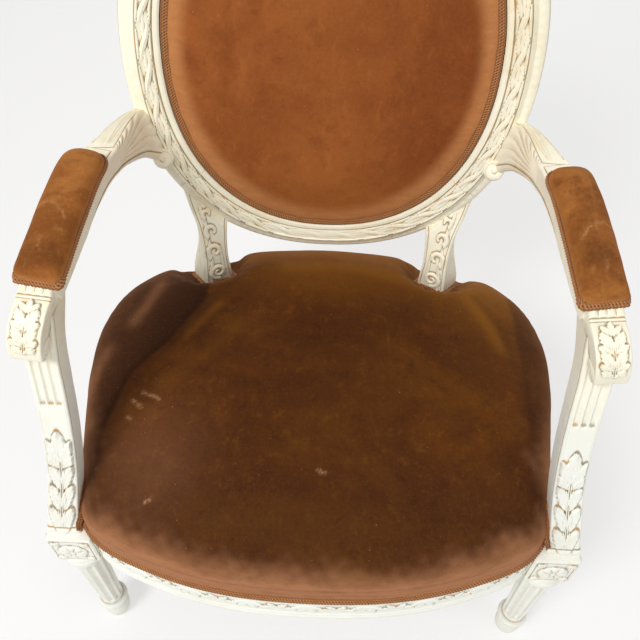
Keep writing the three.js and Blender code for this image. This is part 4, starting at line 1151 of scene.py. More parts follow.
def padBraid(side):
    # round the foot of the pad: along one side, across the front, back along the other and across the rear
    shares = padShares(120, 0.002)
    spot, across, up, _, height = armStations(shares)
    reach = lengthAlong(spot)
    half = (pad["width"] * padEnds(reach)[0] / 2 + 0.0003)[:, None]
    low = spot + up * (height / 2 + 0.0042)[:, None]
    wide = 0.0048 + 0.0056 * smooth(reach, reach[-1] - 0.010, reach[-1] - 0.002)
    run = np.vstack([low + across * half, (low - across * half)[::-1]])
    both = evenly(np.column_stack([run, np.append(wide, wide[::-1]) * 1e-3]), 400, True)
    run, wide = both[:, :3], both[:, 3] * 1e3
    middle = spot.mean(0)
    out = unit(np.cross(roundSteps(run), up.mean(0)))
    if (out * (run - middle)).sum() < 0:
        out = -out
    out[:, 2] = 0.35
    body = braidBody(pairTitle(side, "ArmBraid"), flipped(run, side), flipped(out, side), True, wide)
    return finished(body, "braid", pairName(side, "arm_pad_gimp"))


for side in (1, -1):
    padBraid(side)
print("braid made")


# carving

def lobe(x, y, root, turn, length, width, bend=0.0):
    # a leaf lobe: high along its spine, notched at the edge, with ribs either side of a sunk midrib
    c, s = math.cos(math.radians(turn)), math.sin(math.radians(turn))
    dx, dy = x - root[0], y - root[1]
    u = (dx * c + dy * s) / length
    v = (dy * c - dx * s) / (width / 2) - bend * u * u
    inside = 4 * np.clip(u, 0, 1) * np.clip(1 - u, 0, 1)
    edge = np.maximum(inside, 1e-6) ** 0.55 * (1 - 0.16 * np.cos(u * 17) ** 2)
    rest = np.clip(1 - (v / edge) ** 2, 0, 1)
    dome = np.sqrt(rest) * (0.5 + 0.5 * smooth(u, 0.1, 0.85))
    ribs = 0.11 * np.cos(10 * v) - 0.32 * bell(v, 0, 0.15) * (1 - smooth(u, 0.75, 0.95))
    return dome + ribs * smooth(rest, 0.05, 0.5)


def foliage(x, y, lobes, paired=True):
    # the highest of several lobes; each pair is one lobe mirrored about x = 0
    best = np.zeros(np.broadcast(x, y).shape)
    across = np.abs(x) if paired else x
    for i, (rootX, rootY, turn, length, width, bend) in enumerate(lobes):
        best = np.maximum(best, lobe(across, y, (rootX, rootY), turn, length, width, bend) * (1 - 0.04 * (i % 3)))
    return best


def volute(x, y, radius, turns):
    # a scroll: a round dome cut by a spiral groove, with an eye in its middle
    r = np.hypot(x, y) / radius
    winding = np.arctan2(y, x) / tau
    phase = (r * turns - winding) % 1
    groove = bell(np.minimum(phase, 1 - phase), 0, 0.12) * smooth(r, 0.22, 0.34) * (1 - smooth(r, 0.9, 1.0))
    rise = np.sqrt(np.clip(1 - r ** 4, 0, 1))
    return rise * (1 - 0.45 * groove) + 0.25 * bell(r, 0, 0.16)


def boxColumns(front, side, rear, corner):
    # places round a square with rounded corners: where on the square, which way the corner points, which face
    sets = []
    edges = [
        (-1, -1, 1, -1, front, -90), (1, -1, 1, 1, side, 0), (1, 1, -1, 1, rear, 90), (-1, 1, -1, -1, side, 180),
    ]
    for face, (x0, y0, x1, y1, count, degrees) in enumerate(edges):
        t = np.linspace(0, 1, count)
        angle = math.radians(degrees)
        facing = [np.full(count, v) for v in (math.cos(angle), math.sin(angle), face)]
        sets.append(np.column_stack([x0 + (x1 - x0) * t, y0 + (y1 - y0) * t, *facing]))
        bend = np.radians(degrees + np.linspace(0, 90, corner + 2)[1:-1])
        ones = np.ones(corner)
        sets.append(np.column_stack([x1 * ones, y1 * ones, np.cos(bend), np.sin(bend), -ones]))
    return np.vstack(sets).T[:, None, :]


def boxPlaces(columns, halfWidth, halfDepth, radius):
    # across and forward places of every column for each row's half sizes
    sx, sy, cx, cy, _ = columns
    a, b, r = (np.asarray(v, float).reshape(-1, 1) for v in (halfWidth, halfDepth, radius))
    return sx * (a - r) + cx * r, sy * (b - r) + cy * r


def levelRun(levels, count):
    # rows of levels joined by a spline and spaced evenly
    return evenly(splineThrough(levels, 40), count).T


# oval frame, in four lengths that meet at the joints

ovalFrame = {
    # outwards and forwards
    "section": [
        (0, -0.0016), (0.003, 0), (0.0077, 0), (0.009, -0.0016), (0.0168, -0.0007), (0.0245, -0.0016),
        (0.0262, 0), (0.0292, -0.0016), (0.0331, -0.008), (0.0391, -0.0104), (0.043, -0.0144), (0.043, -0.0248),
        (0.0398, -0.028), (0, -0.028), (0, -0.024), (-0.008, -0.024), (-0.008, -0.009), (0, -0.009),
    ],
    # joint and gap in degrees
    "joint": 37.5, "gap": 0.05, "step": 0.00122, "period": 0.043, "relief": 0.0031,
}


def ribbonRelief(along, w):
    # two ribbons that wind across each other down the band, with pointed leaves in the spaces between them
    turn = along / ovalFrame["period"] * tau
    total = np.zeros(np.broadcast(along, w).shape)
    for sign in (1, -1):
        middle = 0.52 * np.sin(turn * 0.5) * sign
        wide = 0.30 + 0.12 * np.cos(turn * 0.5) ** 2
        v = (w - middle) / wide
        over = 0.62 + 0.38 * np.cos(turn * 0.5 + (0 if sign > 0 else math.pi))
        body = halfRound(v) * over
        veins = 0.12 * np.cos(8.5 * v + 0.8 * np.sin(turn)) * smooth(1 - np.abs(v), 0.0, 0.3)
        total = np.maximum(total, body + veins * over)
    leaf = np.mod(along / ovalFrame["period"], 1)
    inner = 0.27 * np.sin(np.pi * leaf) ** 1.5
    outer = 0.3 * np.abs(np.cos(np.pi * leaf)) ** 1.5
    point = np.clip(1 - (w / np.maximum(inner, 1e-3)) ** 2, 0, 1)
    tips = np.clip(1 - ((np.abs(w) - 0.86) / np.maximum(outer, 1e-3)) ** 2, 0, 1)
    return np.maximum(total, 0.6 * np.sqrt(np.maximum(point, tips)))


def makeOvalPart(name, start, end, node):
    angle = ovalAngles(int((end - start) / 360 * 1.66 / ovalFrame["step"]), start, end)
    # fine steps over the front of the section, coarse ones round its back, and its own corners
    section = np.array(ovalFrame["section"])
    reach = lengthAlong(section, True)
    carvedEnd = 0.0455
    wanted = np.concatenate([np.arange(0, carvedEnd, 0.0008), np.arange(carvedEnd, reach[-1], 0.004), reach[:-1]])
    wanted = np.unique(np.round(wanted, 5))
    wanted = wanted[np.concatenate([[True], np.diff(wanted) > 0.0003])]
    out, front = sectionAt(section, wanted)
    angle = angle[:, None]
    across, up = ovalAt(angle, out)
    base = backSpot(across, up, front + 0 * angle)
    # the band lies between the inner fillet and the outer bead; it is weakened round the middle of the lower rail
    middle = np.stack(ovalAt(angle[:, 0], 0.019), -1)
    along = (lengthAlong(middle) + math.radians(start) * 0.23)[:, None]
    w = (out - 0.0186) / 0.0092
    face = (front > -0.006) * (wanted[None, :] < carvedEnd)
    band = smooth(1 - np.abs(w), 0.0, 0.16) * face
    degrees = np.degrees(angle) % 360
    plain = bell(degrees, 270, 20) * 0.75
    relief = ribbonRelief(along, w) * band * (1 - plain)
    beads = bell(out, 0.0375, 0.004) * (wanted[None, :] < carvedEnd) * (0.5 + 0.5 * np.cos(along / 0.0115 * tau))
    height = relief * ovalFrame["relief"] + beads * 0.00055
    rough = grain(base, 220, 51, 0.00022)
    lines = bell(out, 0.0088, 0.0008) + bell(out, 0.0278, 0.0009)
    points = raised(base, height + rough * face - 0.0005 * lines * face)
    marks = carvedMarks(height, 0.0013, times=3, floor=0.75 * lines * face + 0.3 * smooth(-front, 0.012, 0.02))
    body = gridSurface(name, points, "paint", marks)
    return finished(body, "painted_wood", node)


joint, gap = ovalFrame["joint"], ovalFrame["gap"]
makeOvalPart("crestCarved", joint + gap, 180 - joint - gap, "back_crest")
makeOvalPart("lowerRailCarved", 180 + joint + gap, 360 - joint - gap, "back_lower_rail")
makeOvalPart("rightSideCarved", -joint + gap, joint - gap, "right_back_side")
makeOvalPart("leftSideCarved", 180 - joint + gap, 180 + joint - gap, "left_back_side")
print("oval frame made")


# arm supports

def makeSupport(side):
    bx, by, bz = support["base"]
    lean, sweep, up, width, depth = np.array(support["levels"]).T
    x, y, z, a, b = levelRun(np.column_stack([
        bx - lean * support["lean"], by + sweep * support["sweep"], bz + up * support["height"],
        width * support["width"] / 2, depth * support["depth"] / 2,
    ]), support["rowCount"])
    high = z - bz
    wide = 1 - smooth(high, support["plinthTop"] - 0.0012, support["plinthTop"] + 0.0022)
    step = 0.0015 * bell(high, 0.0, 0.0016)
    a, b = (v + (support["plinth"] - v) * wide - step for v in (a, b))
    columns = boxColumns(*support["columnCounts"])
    across, forward = boxPlaces(columns, a, b, support["round"])
    base = planned(x[:, None], y[:, None], z[:, None], across, forward)
    face = columns[4]
    inner = smooth(a[:, None] - np.abs(across), 0.0024, 0.0045) * (face == 0)
    t = high[:, None] - 0.010
    leaf = foliage(across, t, support["leaves"])
    stem = bell(np.abs(across), 0.0011, 0.0008) * smooth(t, -0.004, 0.004) * (1 - smooth(t, 0.095, 0.11)) * 0.75
    height = np.maximum(leaf, stem) * support["relief"] * inner
    foot = support["fluteFoot"]
    cut = np.zeros_like(height)
    for middle in support["flutes"]:
        far = np.hypot(across - middle, np.minimum(high[:, None] - foot, 0)) / support["fluteRadius"]
        cut = np.maximum(cut, halfRound(far))
    height = height - cut * support["fluteDepth"] * (face == 0)
    sideFace = (face == 1) + (face == 3)
    lines = bell(np.abs(forward + 0.72 * b[:, None]), 0, 0.0008) * sideFace * (high[:, None] > 0.01)
    lines = lines + bell(np.abs(across), a[:, None] - 0.0028, 0.0007) * (face == 0) * (t > 0.13) * (t < 0.19) * 0.4
    rough = grain(base, 260, 61, 0.0002)
    points = raised(base, height + rough - 0.0006 * lines)
    seam = bell(high, support["plinthTop"] + 0.0018, 0.0009)[:, None]
    marks = carvedMarks(height, 0.0017, times=4, floor=np.clip(0.7 * lines + 0.8 * seam, 0, 1))
    body = carvedPiece(side, "SupportCarved", points, marks)
    return finished(body, "painted_wood", pairName(side, "arm_support"))


for side in (1, -1):
    makeSupport(side)
print("supports made")


# arms and their grips

def makeArm(side):
    # a rounded section carried along the arm's path, with a long leaf and a collar on top, and a scroll at the root
    shares = np.linspace(0, armShape["carvedTo"], armShape["rowCount"])
    spot, across, up, width, thick = armStations(shares)
    columns = boxColumns(*armShape["columnCounts"])
    # the first face of the columns is the underside once up is taken as backwards, so it is turned over
    u, v = boxPlaces(columns, width / 2, thick / 2, armShape["round"])
    v = -v
    face = columns[4]
    top = face == 0
    s = shares[:, None]
    w = u / (width[:, None] / 2)
    foot = -0.34
    rise = np.clip((v / thick[:, None] - foot) / (0.5 - foot), 0, 1)
    slope = 1.02 * (1 - smooth(s, 0.1, 0.38)) * rise ** 1.25
    u = u + (1 - w) / 2 * slope * width[:, None] / 2
    base = spot[:, None] + across[:, None] * u[..., None] + up[:, None] * v[..., None]
    border = smooth(np.abs(w), 0.74, 0.82) * (1 - smooth(s, 0.37, 0.385))
    fan = np.arctan2(w + 0.25, 2.2 * (0.40 - s) + 0.05)
    blades = (0.6 + 0.4 * np.cos(fan * 9)) * smooth(0.9 - np.abs(w), 0.1, 0.25)
    blades = blades * (1 - smooth(s, 0.34, 0.385)) * smooth(s, 0.0, 0.1)
    collar = smooth(s, 0.398, 0.404) * (1 - smooth(s, 0.452, 0.46))
    step = smooth(s, 0.386 + 0.018 * w, 0.392 + 0.018 * w)
    height = (np.maximum(border * 0.0014, blades * 0.0013) + 0.0005 * step + 0.0014 * collar) * top
    # the sloping inner face: long blades that meet towards the pad, over a band along the lower edge
    inside = (face == 3) + (face == -1) * (w < 0)
    q = 0.10 + 0.9 * rise
    spread = (q - 0.35) / (0.43 - s * (s < 0.42) + 0.06)
    veins = (0.5 + 0.5 * np.cos(spread * 9.5 + 6 * s + 0.5 * np.sin(s * 30))) ** 0.7
    veins = veins * smooth(0.40 - s, 0, 0.06) * smooth(rise, 0.03, 0.1)
    band = (1 - smooth(v / thick[:, None], foot - 0.03, foot)) * smooth(0.62 - s, 0, 0.1)
    height = height + (veins * 0.0015 + band * 0.0013) * inside
    lines = bell(v, 0.30 * thick[:, None], 0.0008) * (face == 1) * (s < 0.9)
    lines = lines + 1.1 * bell(v / thick[:, None], foot - 0.015, 0.016) * inside * (s < 0.6)
    ends = bell(s, 0.388 + 0.018 * w, 0.003) + bell(s, 0.399, 0.0025)
    lines = lines + (bell(np.abs(w), 0.72, 0.03) * (s < 0.37) + ends) * top
    rough = grain(base, 200, 71, 0.00022)
    points = raised(base, height + rough - 0.0005 * lines)
    marks = carvedMarks(height, 0.0014, times=3, floor=np.clip(0.75 * lines, 0, 1))
    body = joined(carvedPiece(side, "ArmCarved", points, marks), makeRootScroll(side), makeGrip(side))
    return finished(body, "painted_wood", pairName(side, "arm"))


rootScroll = {
    "place": (0.2165, 0.2235, 0.5505), "facing": (-0.26, -0.80, 0.54),
    "radius": 0.0132, "dome": 0.0055, "skirt": 0.012,
}


def makeRootScroll(side):
    # a short drum with a domed, spiral face, where the band under the arm curls up against the frame
    radius = rootScroll["radius"]
    r = np.concatenate([np.linspace(0.02, 1, 34), [1.02, 1.02, 1.0]])[:, None]
    turn = (np.arange(84) / 84 * tau)[None, :]
    x, y = r * np.cos(turn) * radius, r * np.sin(turn) * radius
    high = volute(x, -y, radius, 1.15) * rootScroll["dome"]
    high[-3:] = np.array([[-0.0006], [-rootScroll["skirt"] * 0.6], [-rootScroll["skirt"]]])
    n = unit(np.array(rootScroll["facing"]))
    right = unit(np.cross(n, [0, 0, 1]))
    above = np.cross(n, right)
    above *= np.sign(above[2])
    points = np.array(rootScroll["place"]) + x[..., None] * right + y[..., None] * above + high[..., None] * n
    marks = carvedMarks(high, 0.0012, times=2)
    return carvedPiece(side, "RootScroll", points, marks)


grip = {
    "end": (0.281, -0.098, 0.624), "turn": math.radians(6), "lean": 0.2, "half": 0.018, "edge": 0.0022,
    "middle": (0.0150, -0.0355), "neck": -0.0215, "tip": 0.0765,
    # forwards of and above the arm's end, in millimetres
    "outline": [
        (-24, 17), (-19, 15.4), (-14.6, 13.6), (-8, 11.4), (-1, 10.2), (8, 8.4), (16.5, 3.6), (23.2, -5),
        (26.8, -15), (28.2, -25), (28, -37), (26.2, -46.4), (21.5, -51), (15, -52.2), (9.4, -49.6), (5.8, -42),
        (4, -31), (1, -20), (-4, -12.6), (-12, -9.6), (-24, -8.4), (-26, 4),
    ],
    "leaves": [
        (0.0, 0.0465, 90, 0.0145, 0.0085, 0.0), (0.0012, 0.045, 62, 0.0145, 0.0085, -0.5),
        (0.0012, 0.0265, 77, 0.025, 0.0135, -0.6), (0.001, 0.028, 85, 0.018, 0.006, -0.2),
        (0.002, 0.026, 52, 0.0165, 0.0095, -0.5), (0.0012, 0.0070, 78, 0.027, 0.0140, -0.6),
        (0.001, 0.009, 85, 0.019, 0.0065, -0.2), (0.002, 0.006, 54, 0.0175, 0.010, -0.5),
        (0.0012, -0.0120, 78, 0.025, 0.0140, -0.5), (0.001, -0.011, 85, 0.018, 0.0065, -0.2),
    ],
}


def makeGrip(side):
    # the outline runs round each row; columns of rows go from one side's middle over the edge to the other side's
    outline = np.array(grip["outline"]) / 1000
    run = evenly(splineThrough(outline, 24, True), 240, True)
    middle = np.array(grip["middle"])
    half, edge = grip["half"], grip["edge"]
    shrink = np.linspace(0.03, 1, 22)[:-1]
    bend = np.linspace(0, math.pi / 2, 6)
    flat = np.linspace(-1, 1, 46)[1:-1] * (half - edge)
    # each row has how far in from the outline it lies, as a share and as a length, and its place across
    arris = [(1, edge * (1 - math.sin(a)), half - edge * (1 - math.cos(a))) for a in bend[::-1]]
    rows = [(s, edge, -half) for s in shrink] + [(s, inset, -z) for s, inset, z in arris[::-1]]
    rows += [(1, 0, z) for z in flat] + arris + [(s, edge, half) for s in shrink[::-1]]
    share, inset, across = np.array(rows).T[:, :, None]
    tangent = unit(roundSteps(run))
    normal = np.column_stack([-tangent[:, 1], tangent[:, 0]])
    if (normal * (run - middle)).sum() < 0:
        normal = -normal
    # relief on the face: reeds over the neck, then leaves whose tips point back towards it
    reach = lengthAlong(run, True)[:-1]
    start = np.abs(run[:, 0] - grip["neck"]).argmin()
    down = (reach - reach[start])[None, :]
    on = (share == 1) * (inset < edge * 0.9)
    reeds = np.abs(np.cos(across / (half * 2) * 4 * math.pi + math.pi / 2)) ** 0.6
    reeds = reeds * smooth(down, -0.002, 0.0) * (1 - smooth(down, 0.0085, 0.0105))
    fillet = bell(down, 0.0125, 0.0012)
    tip = grip["tip"]
    leaf = foliage(across, tip - down, grip["leaves"])
    leaf = leaf * smooth(half - np.abs(across), 0.0008, 0.0032) * (down > 0.014)
    leaf = leaf * (1 - smooth(down, tip - 0.002, tip + 0.003))
    stem = bell(np.abs(across), 0.001, 0.0007) * smooth(down, 0.03, 0.036) * 0.7
    stem = stem * (1 - smooth(down, tip, tip + 0.006))
    height = (reeds * 0.0024 + fillet * 0.0010 + np.maximum(leaf, stem) * 0.0038) * on
    # the cheeks carry a shallow scroll
    p = middle + (run[None] - middle) * share[..., None] - normal[None] * inset[..., None]
    cheek = volute(p[..., 0] - middle[0], p[..., 1] - middle[1], 0.0112, 1.4) * 0.0016 * (share < 1)
    lift = cheek * np.sign(across)
    p = p + normal[None] * height[..., None]
    z = across + lift
    f, u = p[..., 0], p[..., 1]
    ex, ey, ez = grip["end"]
    c, s = math.cos(grip["turn"]), math.sin(grip["turn"])
    lean = np.minimum(u, 0.004) * grip["lean"]
    # inwards is square to forwards in plan
    inward = lean - z
    points = np.stack([ex + f * s - inward * c, ey - f * c - inward * s, ez + u], -1)
    floor = 0.8 * bell(down, 0.0108, 0.0007) * on + 0.6 * bell(down, 0.0146, 0.0008) * on + 0 * across
    marks = carvedMarks(height + np.abs(lift), 0.0016, times=4, floor=floor)
    return carvedPiece(side, "GripCarved", points, marks)


for side in (1, -1):
    makeArm(side)
print("arms made")


# turned legs, blocks and rear stiles

leg = {
    "height": 0.250, "radius": 0.026, "flutes": 10, "depth": 0.0029, "kick": 0.034, "forward": 0.008,
    # shares of the height and of the radius
    "profile": [
        (1.01, 0.90), (0.992, 0.92), (0.988, 0.955), (0.975, 1.0), (0.962, 0.995), (0.952, 0.93), (0.95, 0.86),
        (0.936, 0.83), (0.934, 0.87), (0.924, 0.885), (0.914, 0.86), (0.912, 0.79), (0.9, 0.78), (0.27, 0.62),
        (0.262, 0.615), (0.26, 0.68), (0.254, 0.72), (0.248, 0.68), (0.246, 0.70), (0.238, 0.80),
        (0.225, 0.835), (0.212, 0.80), (0.204, 0.70), (0.2, 0.70), (0.192, 0.73), (0.184, 0.69), (0.165, 0.66),
        (0.13, 0.705), (0.1, 0.72), (0.05, 0.665), (0.015, 0.55), (0.003, 0.50), (0.0, 0.47),
    ],
    "fluteFrom": 0.283, "fluteTo": 0.893, "rowCount": 180, "columnCount": 120,
}


def legSurface(name, x, y, kick):
    # the turned profile with hollow flutes that end in rounded stops
    profile = evenly(np.array(leg["profile"]) * [leg["height"], leg["radius"]], leg["rowCount"])
    z, r = profile.T[:, :, None]
    turn = (np.arange(leg["columnCount"]) / leg["columnCount"] * tau)[None, :]
    part = (turn * leg["flutes"] / tau + 0.5) % 1 - 0.5
    low, high = leg["fluteFrom"] * leg["height"], leg["fluteTo"] * leg["height"]
    wide = tau * r / leg["flutes"] * 0.37
    past = np.maximum(np.maximum(low + wide - z, z - high + wide), 0)
    far = np.hypot(part * tau * r / leg["flutes"], past) / wide
    flute = halfRound(far) * (z > low) * (z < high)
    radius = r - flute * leg["depth"]
    share = z / leg["height"]
    points = np.stack([x + radius * np.cos(turn), y + kick * (1 - share) + radius * np.sin(turn), z + 0 * turn], -1)
    rough = grain(points, 240, 81, 0.00015)
    slope = np.abs(np.gradient(r[:, 0], z[:, 0] + np.arange(len(z)) * 1e-9))[:, None]
    marks = carvedMarks(-flute * leg["depth"], 0.0012, times=4)
    seams = blurred((slope > 1.2) + 0 * turn, 2) * (share < 0.99)
    marks["hollow"] = np.clip(marks["hollow"] * (1 - 0.75 * (flute > 0)) + 0.6 * seams + 0.1 * flute, 0, 1)
    return gridSurface(name, raised(points, rough), "paint", marks)


block = {
    "front": (0.028, 0.028), "rear": (0.025, 0.027), "edge": 0.0022, "rowCount": 50, "columnCounts": (50, 50, 30, 4),
}


def blockSurface(name, place, turn, halfSizes, relief):
    # a square block with softened edges, as high as the rails; relief gives its carving from the place on a face
    halfWidth, halfDepth = halfSizes
    low, high, edge = chair["railBottom"], chair["railTop"], block["edge"]
    bend = np.linspace(0, math.pi / 2, 5)
    middle = np.linspace(low + edge, high - edge, block["rowCount"])
    z = np.concatenate([low + edge * (1 - np.cos(bend))[:-1], middle, (high - edge * (1 - np.cos(bend)))[::-1][1:]])
    shrink = np.concatenate([edge * (1 - np.sin(bend))[:-1], 0 * middle, (edge * (1 - np.sin(bend)))[::-1][1:]])
    columns = boxColumns(*block["columnCounts"])
    across, forward = boxPlaces(columns, halfWidth - shrink, halfDepth - shrink, edge)
    points = planned(*place, z[:, None], across, forward, turn)
    face = columns[4]
    frontal = (face == 0) + (face == 2)
    flat = np.where(frontal, across * np.where(face == 0, 1, -1), forward * np.where(face == 1, 1, -1))
    half = np.where(frontal, halfWidth, halfDepth)
    border = np.minimum(half - np.abs(flat), np.minimum(z - low, high - z)[:, None])
    inside = smooth(border, 0.003, 0.0055) * (face >= 0)
    height = relief(flat, z[:, None] - (low + high) / 2) * inside
    rough = grain(points, 250, 85, 0.0002)
    lines = bell(border, 0.0042, 0.0007) * (face >= 0)
    marks = carvedMarks(height, 0.0015, times=3, floor=0.7 * lines)
    return gridSurface(name, raised(points, height + rough - 0.0006 * lines), "paint", marks)


def rosette(x, y):
    # eight petals about a button, with a small leaf in each corner
    r, turn = np.hypot(x, y), np.arctan2(y, x)
    petal = halfRound((r - 0.0095) / 0.0085) * (0.45 + 0.55 * np.abs(np.cos(4 * turn)) ** 0.6)
    button = halfRound(r / 0.0042) * 1.15
    corner = halfRound(np.hypot(np.abs(x) - 0.0185, np.abs(y) - 0.0215) / 0.006)
    ribs = 0.14 * np.cos(x * 2100) * corner
    return (np.maximum(np.maximum(petal, button), 0.7 * corner + ribs)) * 0.0042


def makeFrontLeg(side):
    x, y = chair["frontLeg"]
    turned = legSurface(pairTitle(side, "FrontLegTurned"), x, y - leg["forward"], 0)
    square = blockSurface(pairTitle(side, "Block"), (x, y), 0, block["front"], rosette)
    mirrored(side, turned, square)
    return finished(joined(square, turned), "painted_wood", pairName(side, "front_leg"))


stile = {
    "place": (0.171, 0.219, 0.300), "rise": 0.205, "width": 0.050, "depth": 0.054,
    "round": 0.0042, "relief": 0.0036, "rowCount": 220, "columnCounts": (80, 34, 16, 5),
    # shares of the width aside and behind, of the rise, the width, the depth and the turn
    "levels": [
        (0, 0, 0, 0.88, 0.89, 1), (-0.01, -0.035, 0.11, 0.90, 0.88, 1), (-0.02, -0.07, 0.22, 0.88, 0.85, 1),
        (-0.05, -0.065, 0.32, 0.81, 0.79, 0.9), (-0.08, -0.03, 0.415, 0.74, 0.70, 0.78),
        (-0.11, 0.08, 0.53, 0.74, 0.60, 0.6), (-0.10, 0.27, 0.66, 0.86, 0.50, 0.38),
        (-0.02, 0.45, 0.78, 1.04, 0.38, 0.2), (0.04, 0.60, 0.93, 1.22, 0.30, 0.05),
    ],
    "scrolls": [
        # middle across and up, radius, first angle, sweep, how far it draws in, thickness
        (0.0000, 0.035, 0.0128, -100, 560, 0.78, 0.0040), (0.0018, 0.071, 0.0112, -60, 330, 0.6, 0.0048),
        (0.0024, 0.100, 0.0092, -60, 300, 0.6, 0.0042), (0.0040, 0.122, 0.0068, -60, 270, 0.55, 0.0031),
    ],
    "leaves": [
        (0.0125, 0.012, 96, 0.050, 0.008, 0.3), (0.0122, 0.048, 96, 0.042, 0.007, 0.3),
        (0.0115, 0.078, 94, 0.040, 0.006, 0.2), (0.010, 0.104, 88, 0.034, 0.006, -0.2),
        (-0.0105, 0.020, 86, 0.060, 0.0045, 0.0),
    ],
    "cheek": [(0.002, 0.0, 84, 0.06, 0.012, 0.1), (0.002, 0.048, 92, 0.05, 0.010, -0.1)],
    "behindFrame": 0.0142,
}


def curl(x, y, middleX, middleY, radius, start, sweep, draw, thick):
    # a rounded ridge along a spiral that winds inwards and gets thinner
    dx, dy = x - middleX, y - middleY
    r = np.hypot(dx, dy)
    turn = (np.degrees(np.arctan2(dy, dx)) - start) % 360
    best = np.zeros(r.shape)
    for lap in (0, 360):
        part = (turn + lap) / sweep
        line = radius * (1 - draw * part)
        wide = thick * (1 - 0.55 * np.minimum(part, 1))
        ridge = halfRound((r - line) / wide) * (part < 1) * smooth(1 - part, 0, 0.05)
        best = np.maximum(best, ridge)
    return best


def behindFrame(points, depth):
    # points inside the oval's outline move back until they lie under its front edge
    x, up, front = backLocal(points)
    across, power = np.abs(x), chair["backSquare"]
    share = (across / chair["backHalfWidth"]) ** power + (np.abs(up) / chair["backHalfHeight"]) ** power
    out = np.hypot(across, up) * (1 - 1 / share ** (1 / power))
    moved = points.copy()
    moved[..., 1] += np.maximum(front + depth, 0) * (1 - smooth(out, 0.0425, 0.0465))
    return moved


def makeStile(side):
    px, py, pz = stile["place"]
    aside, behind, up, width, depth, twist = np.array(stile["levels"]).T
    # the turn is weighed down, so that it hardly counts in the spacing of the rows
    x, y, z, a, b, turn = levelRun(np.column_stack([
        px + aside * stile["width"], py + behind * stile["width"], pz + up * stile["rise"],
        width * stile["width"] / 2, depth * stile["depth"] / 2, -twist * chair["stileTurn"] * 0.05,
    ]), stile["rowCount"])
    turn = turn[:, None] / 0.05
    columns = boxColumns(*stile["columnCounts"])
    across, forward = boxPlaces(columns, a, b, stile["round"])
    base = planned(x[:, None], y[:, None], z[:, None], across, forward, turn)
    face = columns[4]
    front, cheeks = face == 0, (face == 1) + (face == 3)
    w = across / a[:, None]
    t = z[:, None] - 0.327
    # the sunk panel has a round foot and a bead along its sides
    foot = 0.003 + 0.017 * (1 - halfRound(w / 0.8))
    border = np.minimum((0.80 - np.abs(w)) * a[:, None], t - foot)
    inner = smooth(border, 0.0002, 0.0016) * front
    carved = foliage(across, t, stile["leaves"], paired=False) * 0.8
    for scroll in stile["scrolls"]:
        carved = np.maximum(carved, curl(across, t, *scroll))
    carved = carved * (1 - smooth(t, 0.118, 0.15))
    bead = bell(border, -0.0016, 0.0012) + 0.6 * bell(border, 0.0018, 0.0008) * (t > 0.01)
    cheek = cheeks * foliage(forward, t, stile["cheek"], paired=False)
    height = carved * inner * stile["relief"] + bead * 0.0009 * front - 0.0010 * inner + 0.0011 * cheek
    lines = (bell(border, 0.0004, 0.0006) + 0.8 * bell(border, -0.0034, 0.0006)) * front
    arris = bell(np.abs(forward + 0.80 * b[:, None]), 0, 0.0008) * cheeks * 0.8
    rough = grain(base, 230, 91, 0.0002)
    points = behindFrame(raised(base, height + rough - 0.0004 * (lines + arris)), stile["behindFrame"])
    marks = carvedMarks(height, 0.0014, times=4, floor=np.clip(0.75 * lines + 0.7 * arris, 0, 1))
    upper = carvedPiece(side, "StileCarved", points, marks)
    turned = legSurface(pairTitle(side, "RearLegTurned"), px, py, leg["kick"])
    square = blockSurface(pairTitle(side, "RearBlock"), (px, py), -chair["stileTurn"], block["rear"],
                          lambda across, up: 0 * across * up)
    mirrored(side, turned, square)
    return finished(joined(upper, turned, square), "painted_wood", pairName(side, "rear_stile"))


for side in (1, -1):
    makeFrontLeg(side)
    makeStile(side)
print("legs and stiles made")


# dowels and corner blocks

joinery = {
    "radiusShare": 0.7, "grooves": 12, "groove": 0.0003, "chamfer": 0.0012, "soften": 0.0016,
    # how far each dowel sits from the frame's one, and what is taken off its forward end
    "dowels": {
        "arm_dowel": ((0.0045, 0.001, 0), 0.009), "stile_dowel": ((0, 0.0045, 0), 0.0),
        "crest_dowel": ((0, 0, 0), 0.0), "side_dowel": ((0, 0, 0), 0.0),
    },
    "braces": ["front_brace", "rear_brace"],
}


def makeDowel(side, kind):
    # a grooved dowel with chamfered ends, along the axis of the frame's one
    name = pairName(side, kind)
    shift, trim = joinery["dowels"][kind]
    points = readPoints(nodes[name])
    middle = (points.max(0) + points.min(0)) / 2
    axis = np.linalg.svd(points - middle)[2][0]
    axis = axis if axis[1] > 0 else -axis
    reach = (points - middle) @ axis
    radius = np.linalg.norm(points - middle - reach[:, None] * axis, axis=1).max() * joinery["radiusShare"]
    right = unit(np.cross(axis, [0.3, 0.2, 0.9]))
    above = np.cross(axis, right)
    ends = [reach.min() + trim, reach.max()]
    u = np.concatenate([[ends[0], ends[0] + joinery["chamfer"]], np.linspace(ends[0] + 0.003, ends[1] - 0.003, 30),
                        [ends[1] - joinery["chamfer"], ends[1]]])[:, None]
    inset = joinery["chamfer"] * ((u == ends[0]) + (u == ends[1])) * 0.8
    turn = (np.arange(72) / 72 * tau)[None, :]
    r = radius - inset - joinery["groove"] * (np.cos(joinery["grooves"] * turn) > 0.3) * (inset == 0)
    ring = (r * np.cos(turn))[..., None] * right + (r * np.sin(turn))[..., None] * above
    spots = middle + flipped(np.array(shift), side) + u[..., None] * axis + ring
    return finished(gridSurface(name + "Turned", spots, "wood"), "plain_wood", name)


